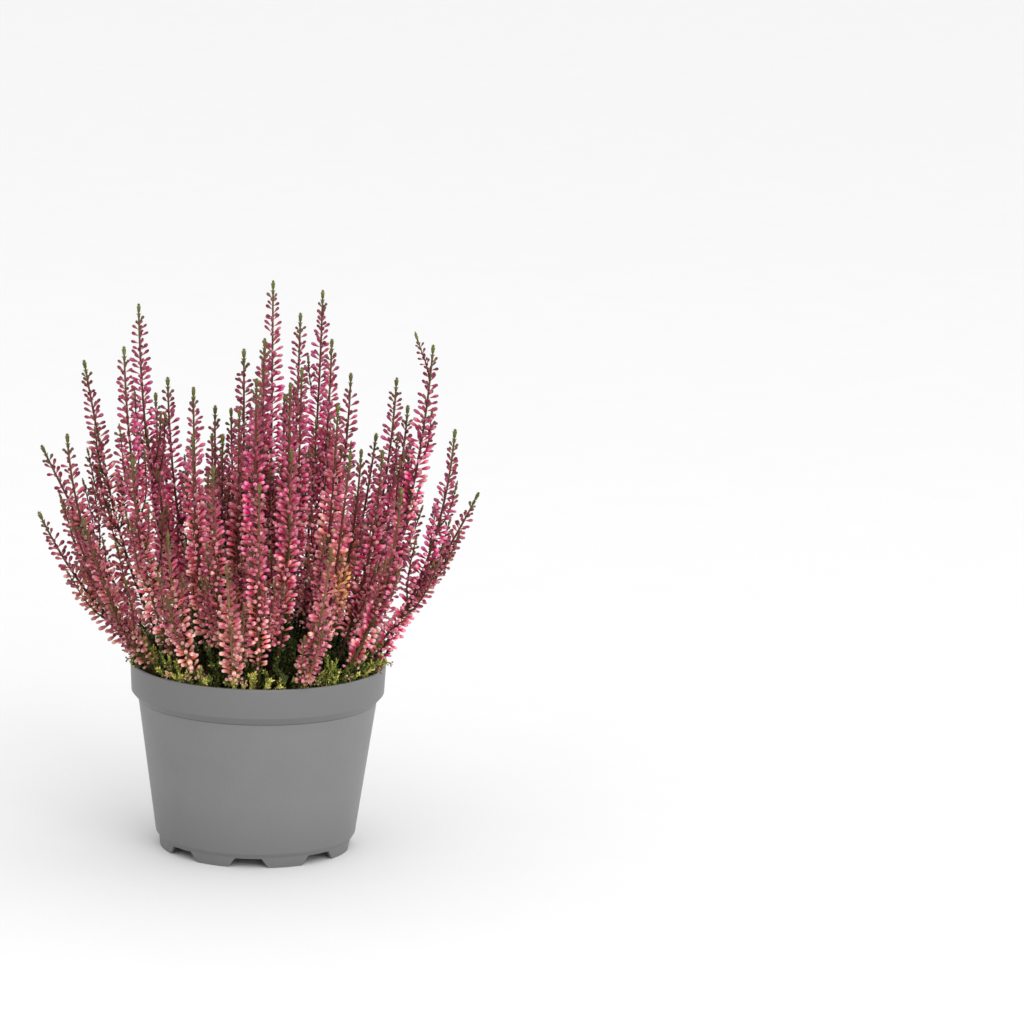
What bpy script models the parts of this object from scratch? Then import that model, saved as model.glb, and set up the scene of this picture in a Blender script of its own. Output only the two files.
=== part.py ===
"""A heather in flower in its plastic nursery pot: pot, soil, flower spikes and low leafy shoots.

Metres, +Z up. The origin is the middle of the pot's foot, on the surface that the pot stands on, and the
front of the plant faces -Y. Every stem stands in its own plain hole in the soil, and leans out from it.
"""

import math
import random

import bmesh
import bpy
import numpy as np
from mathutils import Vector

MM = 0.001

# The pot, from the photograph's outline at a rim 130 mm across.
RIM_RADIUS = 65 * MM
POT_HEIGHT = 96 * MM
COLLAR_FOOT_Z = 76.7 * MM
COLLAR_FOOT_RADIUS = 60.7 * MM
COLLAR_TURN_Z = 80.9 * MM
COLLAR_TURN_RADIUS = 64.3 * MM
BODY_FOOT_Z = 7.6 * MM
BODY_FOOT_RADIUS = 51.0 * MM
FOOT_TOP_Z = 5.4 * MM
FOOT_TOP_RADIUS = 49.4 * MM
FOOT_RADIUS = 48.8 * MM
WALL = 1.5 * MM
LIP = 0.8 * MM
FLOOR_UNDER_Z = 3.2 * MM
FLOOR_TOP_Z = 4.6 * MM
POT_SIDES = 40

# The drainage notches through the foot and the edge of the floor.
NOTCHES = 8
NOTCH_HEIGHT = 4.9 * MM
NOTCH_WIDTH_BELOW = 22 * MM
NOTCH_WIDTH_ABOVE = 13.4 * MM
NOTCH_TURN = math.radians(-94)
NOTCH_INNER_RADIUS = 37 * MM
NOTCH_OUTER_RADIUS = 56 * MM
NOTCH_UNDER_Z = -1 * MM

# The soil, which fills the pot to a finger's breadth under the rim.
SOIL_GAP = 0.3 * MM
SOIL_SIDE_GAP = 0.48 * MM
SOIL_EDGE_Z = 83.5 * MM
SOIL_CROWN = 3.0 * MM
SOIL_LUMP = 0.9 * MM
LUMP_TURNS_PER_METRE = (310, 270, 520)
LUMP_SHIFTS = (1.3, -0.4)
FINE_LUMP = 0.6
SOIL_SIDES = 20
SOIL_RINGS = 4
STEM_DEPTH = 13 * MM
HOLE_GAP = 0.35 * MM
HOLE_ABOVE = 4 * MM
BARE_FOOT = 2.2 * MM
MERGED = 0.02 * MM

# The plant: where stems leave the soil, and how far the fan of spikes reaches.
SPIKES = 52
SHOOTS = 6
ROOT_FIELD = 51 * MM
FAN_REACH = 111 * MM
FAN_POWER = 1.4
FAN_SHORTEST = 0.93
FAN_SWING = 0.06
DOME_TOP_Z = 262 * MM
DOME_DROP = 84 * MM
HEIGHT_BELOW = 24 * MM
HEIGHT_ABOVE = 7.2 * MM
FRONT_DROP = 0.12
UNDER_OUTLINE = 8 * MM
GOLDEN_TURN = math.radians(137.508)
FAN_CENTRE_Y = 3 * MM
BOW = 3 * MM
BEND_LEVELS = (0.9, 0.8, 0.7, 0.6, 0.5)
BEND_UPRIGHT = 0.4
POT_ROOM = 3.2 * MM
SEED = 22

# Tips read from the photograph's outline, left to right: how far from the pot's axis and how high, in mm,
# for a tip straight above the axis as seen. A tip behind or before it is moved along the line of sight.
OUTLINE_TIPS = (
    (-112, 171), (-111, 205), (-98, 211), (-90, 249), (-70, 256), (-63, 278), (-54, 233), (-48, 241),
    (-35, 236), (-24, 227), (-16, 226), (-10, 256), (4, 291), (18, 275), (29, 287), (34, 262), (44, 245),
    (50, 206), (67, 243), (73, 229), (85, 260), (97, 217), (110, 185),
)
OUTLINE_DEPTH = 22 * MM
DEPTH_WEIGHT = 0.35
SIGHT_SLOPE = 0.2345
SIGHT_DISTANCE = 2.36

# A flower spike's stem, and its buds, which stand in pairs, each pair across the last.
STEM_RADIUS = 1.05 * MM
STEM_TIP_RADIUS = 0.55 * MM
LEAFY_LENGTH = 14 * MM
INNER_LEAFY_LENGTH = 58 * MM
LEAF_REACH = 3.8 * MM
LEAF_PITCH = 6.4 * MM
BUD_PITCH = 6.55 * MM
BUD_REACH = 6.7 * MM
BUD_RISE = 3.9 * MM
BUD_HALF_WIDTH = 1.7 * MM
BUD_TAPER_LENGTH = 62 * MM
BUD_TAPER_POWER = 0.7
BUD_REACH_AT_TIP = 3.3 * MM
BUD_PITCH_AT_TIP = 0.35
TIP_LENGTH = 13 * MM
TIP_REACH = 1.9 * MM
TIP_RISE = 1.6 * MM
TIP_ROWS = (0.3, 0.55, 0.8)
TIP_NARROWING = (1.15, 0.75)
LEAF_RISE = 0.8
PAIR_TWIST = math.radians(21)
CORNERS = 4
POT_CLEARANCE = 0.6 * MM
POT_SHARE = 0.87

# A low leafy shoot without flowers.
SHOOT_LENGTH = 23 * MM
SHOOT_ROOT_RADIUS = 54 * MM
SHOOT_LEAN = 6 * MM
SHOOT_REACH = 3.6 * MM
SHOOT_PITCH = 2.9 * MM
SHOOT_STEM_RADIUS = 0.9 * MM
SHOOT_TIP_LENGTH = 2 * MM
OUTER_ROOTS = 0.82

# How stems are bent apart, a little at a time, until their buds are clear of one another.
CLEARANCE = 0.35 * MM
SAMPLES = 20
BENDS = 300
EASE = 0.04
EASED_BENDS = 120
BEND_STEP = 0.5
LONGEST_BEND = 2 * MM
LEAST_LEVERAGE = 0.1

COLOURS = {
    "pot": (0.235, 0.238, 0.24),
    "soil": (0.035, 0.024, 0.016),
    "spike": (0.52, 0.075, 0.2),
    "shoot": (0.13, 0.2, 0.035),
}


def clear_scene():
    """Removes whatever the scene holds at the start."""
    for thing in list(bpy.data.objects):
        bpy.data.objects.remove(thing, do_unlink=True)


def collection(name):
    made = bpy.data.collections.new(name)
    bpy.context.scene.collection.children.link(made)
    return made


def finish_of(name, colour, roughness):
    """A plain finish: a Principled BSDF in the part's colour."""
    made = bpy.data.materials.new(name)
    made.use_nodes = True
    shader = made.node_tree.nodes["Principled BSDF"]
    shader.inputs["Base Color"].default_value = (*colour, 1.0)
    shader.inputs["Roughness"].default_value = roughness
    shader.inputs["Metallic"].default_value = 0.0
    return made


def add_object(name, mesh, home, finish=None):
    made = bpy.data.objects.new(name, mesh)
    home.objects.link(made)
    if finish:
        mesh.materials.append(finish)
    return made


def turned(name, profile, sides, home, finish):
    """A profile of (radius, height) pairs, from the axis over the top and down the outer side, turned."""
    shape = bmesh.new()
    points = [shape.verts.new((radius, 0.0, height)) for radius, height in profile]
    for first, second in zip(points, points[1:]):
        shape.edges.new((first, second))
    mesh = bpy.data.meshes.new(name)
    shape.to_mesh(mesh)
    shape.free()
    made = add_object(name, mesh, home, finish)
    screw = made.modifiers.new("turn", "SCREW")
    screw.axis = "Z"
    screw.steps = sides
    screw.render_steps = sides
    screw.use_merge_vertices = True
    screw.merge_threshold = MERGED
    screw.use_smooth_shade = True
    return made


def cut(made, cutter):
    """Cuts one object out of another, and keeps the cutter as a hidden guide."""
    cutter.hide_render = True
    cutter.display_type = "WIRE"
    boolean = made.modifiers.new("cut " + cutter.name, "BOOLEAN")
    boolean.operation = "DIFFERENCE"
    boolean.solver = "EXACT"
    boolean.object = cutter


def pot_profile():
    """The pot's section, from the floor's middle up the inside, over the lip and down the outside."""
    body_slope = (COLLAR_FOOT_RADIUS - BODY_FOOT_RADIUS) / (COLLAR_FOOT_Z - BODY_FOOT_Z)
    inner_floor_radius = BODY_FOOT_RADIUS - WALL - body_slope * (BODY_FOOT_Z - FLOOR_TOP_Z)
    return [
        (0.0, FLOOR_TOP_Z),
        (inner_floor_radius - WALL, FLOOR_TOP_Z),
        (BODY_FOOT_RADIUS - WALL, BODY_FOOT_Z + WALL),
        (COLLAR_FOOT_RADIUS - WALL, COLLAR_FOOT_Z + 0.5 * WALL),
        (COLLAR_TURN_RADIUS - WALL, COLLAR_TURN_Z + 0.5 * WALL),
        (RIM_RADIUS - WALL - LIP, POT_HEIGHT - LIP),
        (RIM_RADIUS - WALL, POT_HEIGHT),
        (RIM_RADIUS - 0.5 * LIP, POT_HEIGHT),
        (RIM_RADIUS, POT_HEIGHT - LIP),
        (COLLAR_TURN_RADIUS, COLLAR_TURN_Z),
        (COLLAR_FOOT_RADIUS, COLLAR_FOOT_Z),
        (BODY_FOOT_RADIUS, BODY_FOOT_Z),
        (FOOT_TOP_RADIUS, FOOT_TOP_Z),
        (FOOT_RADIUS, 0.0),
        (FOOT_RADIUS - WALL, 0.0),
        (FOOT_RADIUS - WALL, FLOOR_UNDER_Z),
        (0.0, FLOOR_UNDER_Z),
    ]


def notch_cutters(home):
    """One wedge for each drainage notch, wider below than above, all in one hidden object."""
    shape = bmesh.new()
    for index in range(NOTCHES):
        made = bmesh.ops.create_cube(shape, size=1.0)["verts"]
        turn = NOTCH_TURN + index * math.tau / NOTCHES
        along = Vector((math.cos(turn), math.sin(turn), 0.0))
        across = Vector((-along.y, along.x, 0.0))
        for vert in made:
            radius = NOTCH_OUTER_RADIUS if vert.co.x > 0 else NOTCH_INNER_RADIUS
            below = vert.co.z < 0
            width = NOTCH_WIDTH_BELOW if below else NOTCH_WIDTH_ABOVE
            height = NOTCH_UNDER_Z if below else NOTCH_HEIGHT
            side = 1 if vert.co.y > 0 else -1
            vert.co = radius * along + side * 0.5 * width * across + Vector((0, 0, height))
    mesh = bpy.data.meshes.new("notches")
    shape.to_mesh(mesh)
    shape.free()
    return add_object("notches", mesh, home)


def build_pot(home, cutters):
    pot = turned("pot", pot_profile(), POT_SIDES, home, finish_of("pot", COLOURS["pot"], 0.5))
    cut(pot, notch_cutters(cutters))


def soil_height(x, y):
    """The soil's upper surface: a low crown with a few lumps, flat where it meets the pot."""
    share = min(1.0, math.hypot(x, y) / COLLAR_FOOT_RADIUS)
    along_x, along_y, slanting = LUMP_TURNS_PER_METRE
    broad = math.sin(along_x * x + LUMP_SHIFTS[0]) * math.cos(along_y * y + LUMP_SHIFTS[1])
    lumps = broad + FINE_LUMP * math.sin(slanting * (x - y))
    return SOIL_EDGE_Z + (1 - share**2) * (SOIL_CROWN + SOIL_LUMP * lumps)


def soil_profile():
    """The soil's section: its top from the middle out, and the pot's inside a small gap away."""
    top_radius = COLLAR_TURN_RADIUS - WALL - SOIL_GAP
    ring = top_radius / SOIL_RINGS
    pot_inside = pot_profile()[1:5]
    top = [(index * ring, SOIL_EDGE_Z) for index in range(SOIL_RINGS + 1)]
    side = [(radius - SOIL_SIDE_GAP, height + SOIL_GAP) for radius, height in reversed(pot_inside)]
    return [*top[:-1], (top_radius, SOIL_EDGE_Z), *side, (0.0, FLOOR_TOP_Z + SOIL_GAP)]


def build_soil(stems, home, cutters):
    """The soil, with its top raised by soil_height and a square hole for every stem."""
    soil = turned("soil", soil_profile(), SOIL_SIDES, home, finish_of("soil", COLOURS["soil"], 0.95))
    mesh = bpy.data.meshes.new_from_object(soil.evaluated_get(bpy.context.evaluated_depsgraph_get()))
    for vert in mesh.vertices:
        if vert.co.z > SOIL_EDGE_Z - MM:
            vert.co.z = soil_height(vert.co.x, vert.co.y)
    soil.modifiers.clear()
    soil.data = mesh
    shape = bmesh.new()
    for stem in stems:
        half = stem.stem_radius / math.sqrt(2) + HOLE_GAP
        _, tangent = stem.place(0.0)
        first, second = across(tangent, stem.turn + math.pi / 4)
        for vert in bmesh.ops.create_cube(shape, size=2.0)["verts"]:
            along = HOLE_ABOVE if vert.co.z > 0 else -STEM_DEPTH - SOIL_GAP
            vert.co = stem.root + half * (vert.co.x * first + vert.co.y * second) + along * tangent
    holes = bpy.data.meshes.new("stem_holes")
    shape.to_mesh(holes)
    shape.free()
    cut(soil, add_object("stem_holes", holes, cutters))


def across(tangent, turn):
    """Two unit directions square to the stem and to each other, the first turned by this much."""
    level = (Vector((1, 0, 0)) - tangent.x * tangent).normalized()
    other = tangent.cross(level)
    first = math.cos(turn) * level + math.sin(turn) * other
    return first, tangent.cross(first)


def cubic(handles, share):
    """Points on a cubic curve, for one share of its length or an array of them."""
    share = np.atleast_1d(np.asarray(share, float))[:, None]
    rest = 1 - share
    first, second, third, last = handles
    return rest**3 * first + 3 * rest**2 * share * second + 3 * rest * share**2 * third + share**3 * last


class Stem:
    """A stem from its root in the soil to its tip, on a cubic curve. Under the soil it runs straight."""

    def __init__(self, name, root, tip, turn, bow, stem_radius, leafy, fixed_x=False):
        self.name = name
        self.root = Vector(root)
        self.turn = turn
        self.stem_radius = stem_radius
        self.leafy = leafy
        self.fixed_x = fixed_x
        root, tip = np.array(root), np.array(tip)
        lower, upper = natural_bend(root, tip)
        self.handles = np.array([root, lower, upper + (bow[0], bow[1], 0.0), tip])
        self.table = None

    def at(self, share):
        """Points on the curve, for one share of its length or an array of them."""
        return cubic(self.handles, share)

    def length(self):
        points = self.at(np.linspace(0, 1, 40))
        return float(np.linalg.norm(np.diff(points, axis=0), axis=1).sum())

    def place(self, along):
        """The point and the unit direction at a distance along the stem from the soil."""
        if along <= 0:
            tangent = Vector(self.handles[1] - self.handles[0]).normalized()
            return self.root + along * tangent, tangent
        share = self.share_at(along)
        ahead, behind = self.at(min(1.0, share + 0.01))[0], self.at(max(0.0, share - 0.01))[0]
        return Vector(self.at(share)[0]), Vector(ahead - behind).normalized()

    def share_at(self, along):
        """The share of the curve at a distance along it, from a table made once the curve is final."""
        if self.table is None:
            shares = np.linspace(0, 1, 80)
            steps = np.linalg.norm(np.diff(self.at(shares), axis=0), axis=1)
            self.table = (np.concatenate([[0], np.cumsum(steps)]), shares)
        return float(np.interp(along, *self.table))


def pot_distance(point):
    """How far a point over the soil is from the pot's wall or its rounded rim."""
    away = math.hypot(point[0], point[1]) - RIM_RADIUS + 0.5 * WALL
    return math.hypot(away, max(0.0, point[2] - POT_HEIGHT)) - WALL


def outline_site(sites, taken, x):
    """The free site whose tip lies nearest to x, the rear half of the plant first."""
    def cost(index):
        tip_x, tip_y = sites[index][1]
        return abs(tip_x - x) + DEPTH_WEIGHT * abs(tip_y - OUTLINE_DEPTH)

    return min((index for index in range(len(sites)) if index not in taken), key=cost)


def in_depth(x, z, depth):
    """A place seen at x and z, moved along the line of sight to a depth behind the pot's axis."""
    grown = 1 + depth / SIGHT_DISTANCE
    return x * grown, POT_HEIGHT + (z - POT_HEIGHT) * grown - SIGHT_SLOPE * depth


def spike_stems():
    """The flower spikes on a sunflower's spiral: roots close together, and tips in a wide fan."""
    draw = random.Random(SEED)
    sites = []
    for index in range(SPIKES):
        share = math.sqrt((index + 0.5) / SPIKES)
        angle = index * GOLDEN_TURN
        root = (ROOT_FIELD * share * math.cos(angle), ROOT_FIELD * share * math.sin(angle))
        spread = FAN_REACH * share**FAN_POWER * draw.uniform(FAN_SHORTEST, 1.0)
        swing = angle + draw.uniform(-FAN_SWING, FAN_SWING)
        sites.append((root, (spread * math.cos(swing), spread * math.sin(swing) + FAN_CENTRE_Y)))
    taken = {}
    for x, z in sorted(OUTLINE_TIPS, key=lambda tip: -abs(tip[0])):
        taken[outline_site(sites, taken, x * MM)] = (x * MM, z * MM)
    stems = []
    for index, (root, tip) in enumerate(sites):
        share = math.hypot(*tip) / FAN_REACH
        height = DOME_TOP_Z - DOME_DROP * share**2 + draw.uniform(-HEIGHT_BELOW, HEIGHT_ABOVE)
        height -= FRONT_DROP * max(0.0, -tip[1])
        x = tip[0]
        outline_x, outline_z = np.array(OUTLINE_TIPS).T * MM
        _, below = in_depth(x, np.interp(x, outline_x, outline_z), tip[1])
        height = min(height, below - UNDER_OUTLINE * draw.uniform(1, 3))
        if index in taken:
            x, height = in_depth(*taken[index], tip[1])
        bow = (draw.uniform(-BOW, BOW), draw.uniform(-BOW, BOW))
        outward = math.hypot(*root) / ROOT_FIELD
        leafy = INNER_LEAFY_LENGTH + (LEAFY_LENGTH - INNER_LEAFY_LENGTH) * outward**2
        stems.append(Stem(
            f"spike_{index + 1:02d}", (*root, soil_height(*root)), (x, tip[1], height),
            draw.uniform(0, math.pi / 2), bow, STEM_RADIUS, leafy, index in taken,
        ))
    return stems


def shoot_stems(spikes):
    """Short leafy shoots by the pot's wall, each in the widest free place between the outer spikes."""
    draw = random.Random(SEED + 1)
    outer = [spike.root for spike in spikes if spike.root.xy.length > OUTER_ROOTS * ROOT_FIELD]
    outer = sorted(math.atan2(root.y, root.x) for root in outer)
    gaps = [(second - first, 0.5 * (first + second)) for first, second in zip(outer, outer[1:])]
    gaps.append((outer[0] + math.tau - outer[-1], 0.5 * (outer[0] + math.tau + outer[-1])))
    stems = []
    for index, (_, angle) in enumerate(sorted(gaps, reverse=True)[:SHOOTS]):
        root = (SHOOT_ROOT_RADIUS * math.cos(angle), SHOOT_ROOT_RADIUS * math.sin(angle))
        lean = SHOOT_LEAN * draw.uniform(0.7, 1.0)
        height = SHOOT_LENGTH * draw.uniform(0.85, 1.1)
        ground = soil_height(*root)
        tip = (root[0] + lean * math.cos(angle), root[1] + lean * math.sin(angle), ground + height)
        stems.append(Stem(
            f"leafy_shoot_{index + 1:02d}", (*root, ground), tip, draw.uniform(0, math.pi / 2),
            (0.0, 0.0), SHOOT_STEM_RADIUS, height,
        ))
    return stems


def reach_at(stem, along, length):
    """How far a stem's leaves or buds stand out from its middle, at a distance along it."""
    if along < BARE_FOOT:
        return stem.stem_radius
    if stem.name.startswith("leafy"):
        return SHOOT_REACH
    if along < stem.leafy:
        return LEAF_REACH
    from_tip = length - along
    if from_tip < TIP_LENGTH:
        return TIP_REACH
    taper = min(1.0, (from_tip - TIP_LENGTH) / BUD_TAPER_LENGTH)
    return BUD_REACH_AT_TIP + (BUD_REACH - BUD_REACH_AT_TIP) * taper**BUD_TAPER_POWER


def natural_bend(root, tip):
    """The two inner handles of a stem that leans out at its root and then rises upright.

    It leans as far as the pot's rim allows."""
    for level in BEND_LEVELS:
        middle = root + (tip - root) * (level, level, BEND_UPRIGHT)
        lower, upper = root + (middle - root) * 2 / 3, tip + (middle - tip) * 2 / 3
        points = cubic((root, lower, upper, tip), np.linspace(0, 1, SAMPLES))
        if min(pot_distance(point) for point in points) > POT_ROOM:
            break
    return lower, upper


def bend_clear(stems):
    """Bends stems apart until no bud could touch a neighbour. A tip of the outline moves only in depth."""
    shares = np.linspace(0, 1, SAMPLES)
    weights = np.stack([3 * (1 - shares) * shares**2, shares**3], axis=1)
    leverage = weights / np.maximum(LEAST_LEVERAGE, (weights**2).sum(axis=1, keepdims=True))
    first_tips = [stem.handles[3].copy() for stem in stems]
    for step in range(BENDS):
        lengths = [stem.length() for stem in stems]
        points = np.array([stem.at(shares) for stem in stems])
        reaches = np.array([
            [reach_at(stem, share * length, length) for share in shares]
            for stem, length in zip(stems, lengths)
        ])
        moves = np.zeros((len(stems), 2, 2))
        worst = 0.0
        for i in range(len(stems) - 1):
            apart = points[i][None, :, None, :] - points[i + 1:, None, :, :]
            distance = np.linalg.norm(apart, axis=3)
            lack = reaches[i][None, :, None] + reaches[i + 1:, None, :] + CLEARANCE - distance
            for k in np.nonzero((lack > 0).any(axis=(1, 2)))[0]:
                a, b = np.unravel_index(np.argmax(lack[k]), lack[k].shape)
                worst = max(worst, lack[k][a, b])
                push = apart[k, a, b, :2] / max(1e-6, np.linalg.norm(apart[k, a, b, :2]))
                push *= 0.5 * lack[k][a, b]
                moves[i] += leverage[a][:, None] * push
                moves[i + 1 + k] -= leverage[b][:, None] * push
        if worst == 0.0:
            break
        ease = EASE if step < EASED_BENDS else 0.0
        for stem, move, first_tip in zip(stems, moves, first_tips):
            move = np.clip(BEND_STEP * move, -LONGEST_BEND, LONGEST_BEND)
            move[1] += ease * (first_tip - stem.handles[3])[:2]
            move[0] += ease * (natural_bend(stem.handles[0], stem.handles[3])[1] - stem.handles[2])[:2]
            if stem.fixed_x:
                move[1, 0] = 0.0
            stem.handles[2:, :2] += move
    return worst


def rows_of(stem):
    """The rows of a stem's surface: distance along, core radius, reach, rise and half the bud's width."""
    length = stem.length()
    core = stem.stem_radius
    rows = [
        (-STEM_DEPTH, 0.0, 0.0, 0.0, 0.0),
        (-STEM_DEPTH, core, 0.0, 0.0, 0.0),
        (BARE_FOOT, core, 0.0, 0.0, 0.0),
    ]
    leafy_shoot = stem.name.startswith("leafy")
    pitch = SHOOT_PITCH if leafy_shoot else LEAF_PITCH
    along = BARE_FOOT + pitch
    end = length - (SHOOT_TIP_LENGTH if leafy_shoot else TIP_LENGTH)
    while along < end:
        flowering = not leafy_shoot and along > stem.leafy
        tip_share = stem.share_at(along + (BUD_RISE if flowering else LEAF_RISE * pitch))
        room = pot_distance(stem.at(tip_share)[0]) - POT_CLEARANCE
        reach = min(reach_at(stem, along, length), POT_SHARE * room)
        thin = core + (STEM_TIP_RADIUS - core) * along / length
        if flowering:
            size = reach / BUD_REACH
            rows.append((along, thin, reach, BUD_RISE * size, BUD_HALF_WIDTH * size))
            along += BUD_PITCH * (BUD_PITCH_AT_TIP + (1 - BUD_PITCH_AT_TIP) * size)
        else:
            rows.append((along, thin, reach, LEAF_RISE * pitch, 0.0))
            along += pitch
    if not leafy_shoot:
        widest, narrowing = TIP_NARROWING
        for share in TIP_ROWS:
            reach = TIP_REACH * (widest - narrowing * share)
            rows.append((length - TIP_LENGTH * (1 - share), STEM_TIP_RADIUS, reach, TIP_RISE, 0.0))
    rows.append((length, 0.0, 0.0, 0.0, 0.0))
    return rows


def raised_surface(stem):
    """A sheet wrapped round the stem. In each row two opposite corners are drawn out into buds, and the
    two between them stay on the stem; the next row has them the other way round."""
    rows = rows_of(stem)
    shape = bmesh.new()
    columns = 2 * CORNERS
    bmesh.ops.create_grid(shape, x_segments=columns, y_segments=len(rows) - 1, size=0.5)
    for vert in shape.verts:
        column = round((vert.co.x + 0.5) * columns)
        row = round((vert.co.y + 0.5) * (len(rows) - 1))
        along, core, reach, rise, half_width = rows[row]
        corner = (column % columns) // 2
        drawn_out = reach > 0 and (corner + row) % 2 == 0
        turn = stem.turn + corner * math.tau / CORNERS + PAIR_TWIST * max(0, row - 2)
        point, tangent = stem.place(along + (rise if drawn_out else 0.0))
        out, side = across(tangent, turn)
        if drawn_out:
            edge = 1 if column % 2 else -1
            point += reach * out + edge * half_width * side
        else:
            point += core * out
        vert.co = point
    bmesh.ops.remove_doubles(shape, verts=shape.verts, dist=MERGED)
    bmesh.ops.triangulate(shape, faces=shape.faces, quad_method="SHORT_EDGE")
    bmesh.ops.recalc_face_normals(shape, faces=shape.faces)
    mesh = bpy.data.meshes.new(stem.name)
    shape.to_mesh(mesh)
    shape.free()
    return mesh


def main():
    clear_scene()
    plant = collection("potted_heather")
    cutters = collection("cutters")
    build_pot(plant, cutters)
    spikes = spike_stems()
    shoots = shoot_stems(spikes)
    worst = bend_clear(spikes + shoots)
    print(f"stems still too close by {worst / MM:.2f} mm")
    flower = finish_of("spike", COLOURS["spike"], 0.7)
    leaf = finish_of("shoot", COLOURS["shoot"], 0.7)
    for stem in spikes + shoots:
        finish = leaf if stem.name.startswith("leafy") else flower
        add_object(stem.name, raised_surface(stem), plant, finish)
    build_soil(spikes + shoots, plant, cutters)


main()
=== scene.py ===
"""The finished looks of a heather in flower in its plastic nursery pot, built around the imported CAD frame.

Metres, +Z up. The pot's foot stands on the floor at the origin, and the front of the plant faces -Y.
Every flowering stem follows the middle line of the CAD stem that it stands for.
"""

import logging
import math
from collections.abc import Callable, Sequence
from dataclasses import dataclass, field
from enum import Enum

import bmesh
import bpy
import numpy as np
from mathutils import Matrix, Vector


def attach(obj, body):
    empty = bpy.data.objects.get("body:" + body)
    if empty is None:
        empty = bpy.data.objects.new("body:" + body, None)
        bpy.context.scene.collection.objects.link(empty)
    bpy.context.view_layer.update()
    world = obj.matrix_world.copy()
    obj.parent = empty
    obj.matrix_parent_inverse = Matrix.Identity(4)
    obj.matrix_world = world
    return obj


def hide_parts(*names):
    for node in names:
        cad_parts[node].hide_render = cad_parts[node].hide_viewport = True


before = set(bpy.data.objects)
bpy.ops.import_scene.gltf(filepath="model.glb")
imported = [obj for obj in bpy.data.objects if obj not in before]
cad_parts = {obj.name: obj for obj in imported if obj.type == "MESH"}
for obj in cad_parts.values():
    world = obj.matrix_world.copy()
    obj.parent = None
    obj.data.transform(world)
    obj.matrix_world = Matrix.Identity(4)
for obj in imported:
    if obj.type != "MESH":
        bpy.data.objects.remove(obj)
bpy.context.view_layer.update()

Array = np.ndarray
Chance = np.random.Generator
Piece = bpy.types.Object
Material = bpy.types.Material
Node = bpy.types.Node
Socket = bpy.types.NodeSocket
Span = tuple[float, float]
Triple = tuple[float, float, float]
Colour = tuple[float, float, float, float]
Colours = tuple[Colour, ...]
Profile = Callable[[Array], Array]

MM = 0.001
UP = np.array([0.0, 0.0, 1.0])

log = logging.getLogger("heather")


class Slot(Enum):
    """The material slots of the record. No piece here takes its finish from them."""

    POT = "pot"
    SOIL = "soil"
    SPIKE = "spike"
    SHOOT = "shoot"


class Part(Enum):
    """The number of each finish on a piece of the plant."""

    BARK = 0
    BUD = 1
    LEAF = 2


class Habit(Enum):
    """Where a low leafy twig grows: at the pot's rim, out over its lip, or inside the plant."""

    RIM = "rim"
    LIP = "lip"
    INNER = "inner"


def linear(red: float, green: float, blue: float) -> Colour:
    """Gives a shader's colour for one as a screen shows it, by the sRGB curve.

    Args:
        red: Red from 0 to 255.
        green: Green from 0 to 255.
        blue: Blue from 0 to 255.

    Returns:
        The linear colour with a full alpha.
    """
    shown = [value / 255 for value in (red, green, blue)]
    made = [s / 12.92 if s <= 0.04045 else ((s + 0.055) / 1.055) ** 2.4 for s in shown]
    return (*made, 1.0)


def unit(vectors: Array) -> Array:
    """Scales vectors to a length of one."""
    return vectors / np.maximum(1e-12, np.linalg.norm(vectors, axis=-1, keepdims=True))


def risen(value: Array | float, start: float, reach: float) -> Array | float:
    """Gives the share, from 0 to 1, of the way from a start along a reach. A negative reach runs down."""
    return np.clip((value - start) / reach, 0, 1)


def taper(foot: float, loss: float) -> Profile:
    """Gives the function from a share of a stem's length to its radius. Both sizes are in millimetres."""
    return lambda share: (foot - loss * share) * MM


def chance_of(node: str, salt: int) -> Chance:
    """Starts a source of chance that depends only on a node's name and a number."""
    return np.random.default_rng(sum(ord(letter) * (place + salt) for place, letter in enumerate(node)))


def clear_selection() -> None:
    """Goes to object mode with nothing selected."""
    if bpy.context.object and bpy.context.object.mode == "EDIT":
        bpy.ops.object.mode_set(mode="OBJECT")
    bpy.ops.object.select_all(action="DESELECT")


def pick(piece: Piece) -> None:
    """Goes to object mode with one piece selected and active.

    Args:
        piece: The piece.
    """
    clear_selection()
    bpy.context.view_layer.objects.active = piece
    piece.select_set(True)


def open_for_editing(piece: Piece) -> None:
    """Opens a piece in edit mode, with none of it selected.

    Args:
        piece: The piece.
    """
    pick(piece)
    bpy.ops.object.mode_set(mode="EDIT")
    bpy.ops.mesh.select_all(action="DESELECT")


def seat_mesh(piece: Piece) -> None:
    """Moves a piece's place into its mesh, so that its object sits unturned at the origin."""
    pick(piece)
    bpy.ops.object.transform_apply(location=True, rotation=True, scale=True)


def select_where(piece: Piece, test: Callable[[Vector], bool]) -> None:
    """Selects the vertices of the piece in edit mode that pass a test on their place, and no others.

    Args:
        piece: The piece that is open in edit mode.
        test: Takes a vertex's place, and says whether it is wanted.
    """
    bpy.ops.mesh.select_all(action="DESELECT")
    shape = bmesh.from_edit_mesh(piece.data)
    for vert in shape.verts:
        if test(vert.co):
            vert.select_set(True)
    shape.select_flush(True)
    bmesh.update_edit_mesh(piece.data)


def select_all() -> None:
    """Selects the whole of the piece in edit mode."""
    bpy.ops.mesh.select_all(action="SELECT")


def stretch(x: float, y: float, z: float) -> None:
    """Makes the selection larger or smaller about the origin, by a factor for each direction."""
    bpy.ops.transform.resize(value=(x, y, z), center_override=(0.0, 0.0, 0.0))


def shift(x: float, y: float, z: float) -> None:
    """Moves the selection."""
    bpy.ops.transform.translate(value=(x, y, z))


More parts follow.
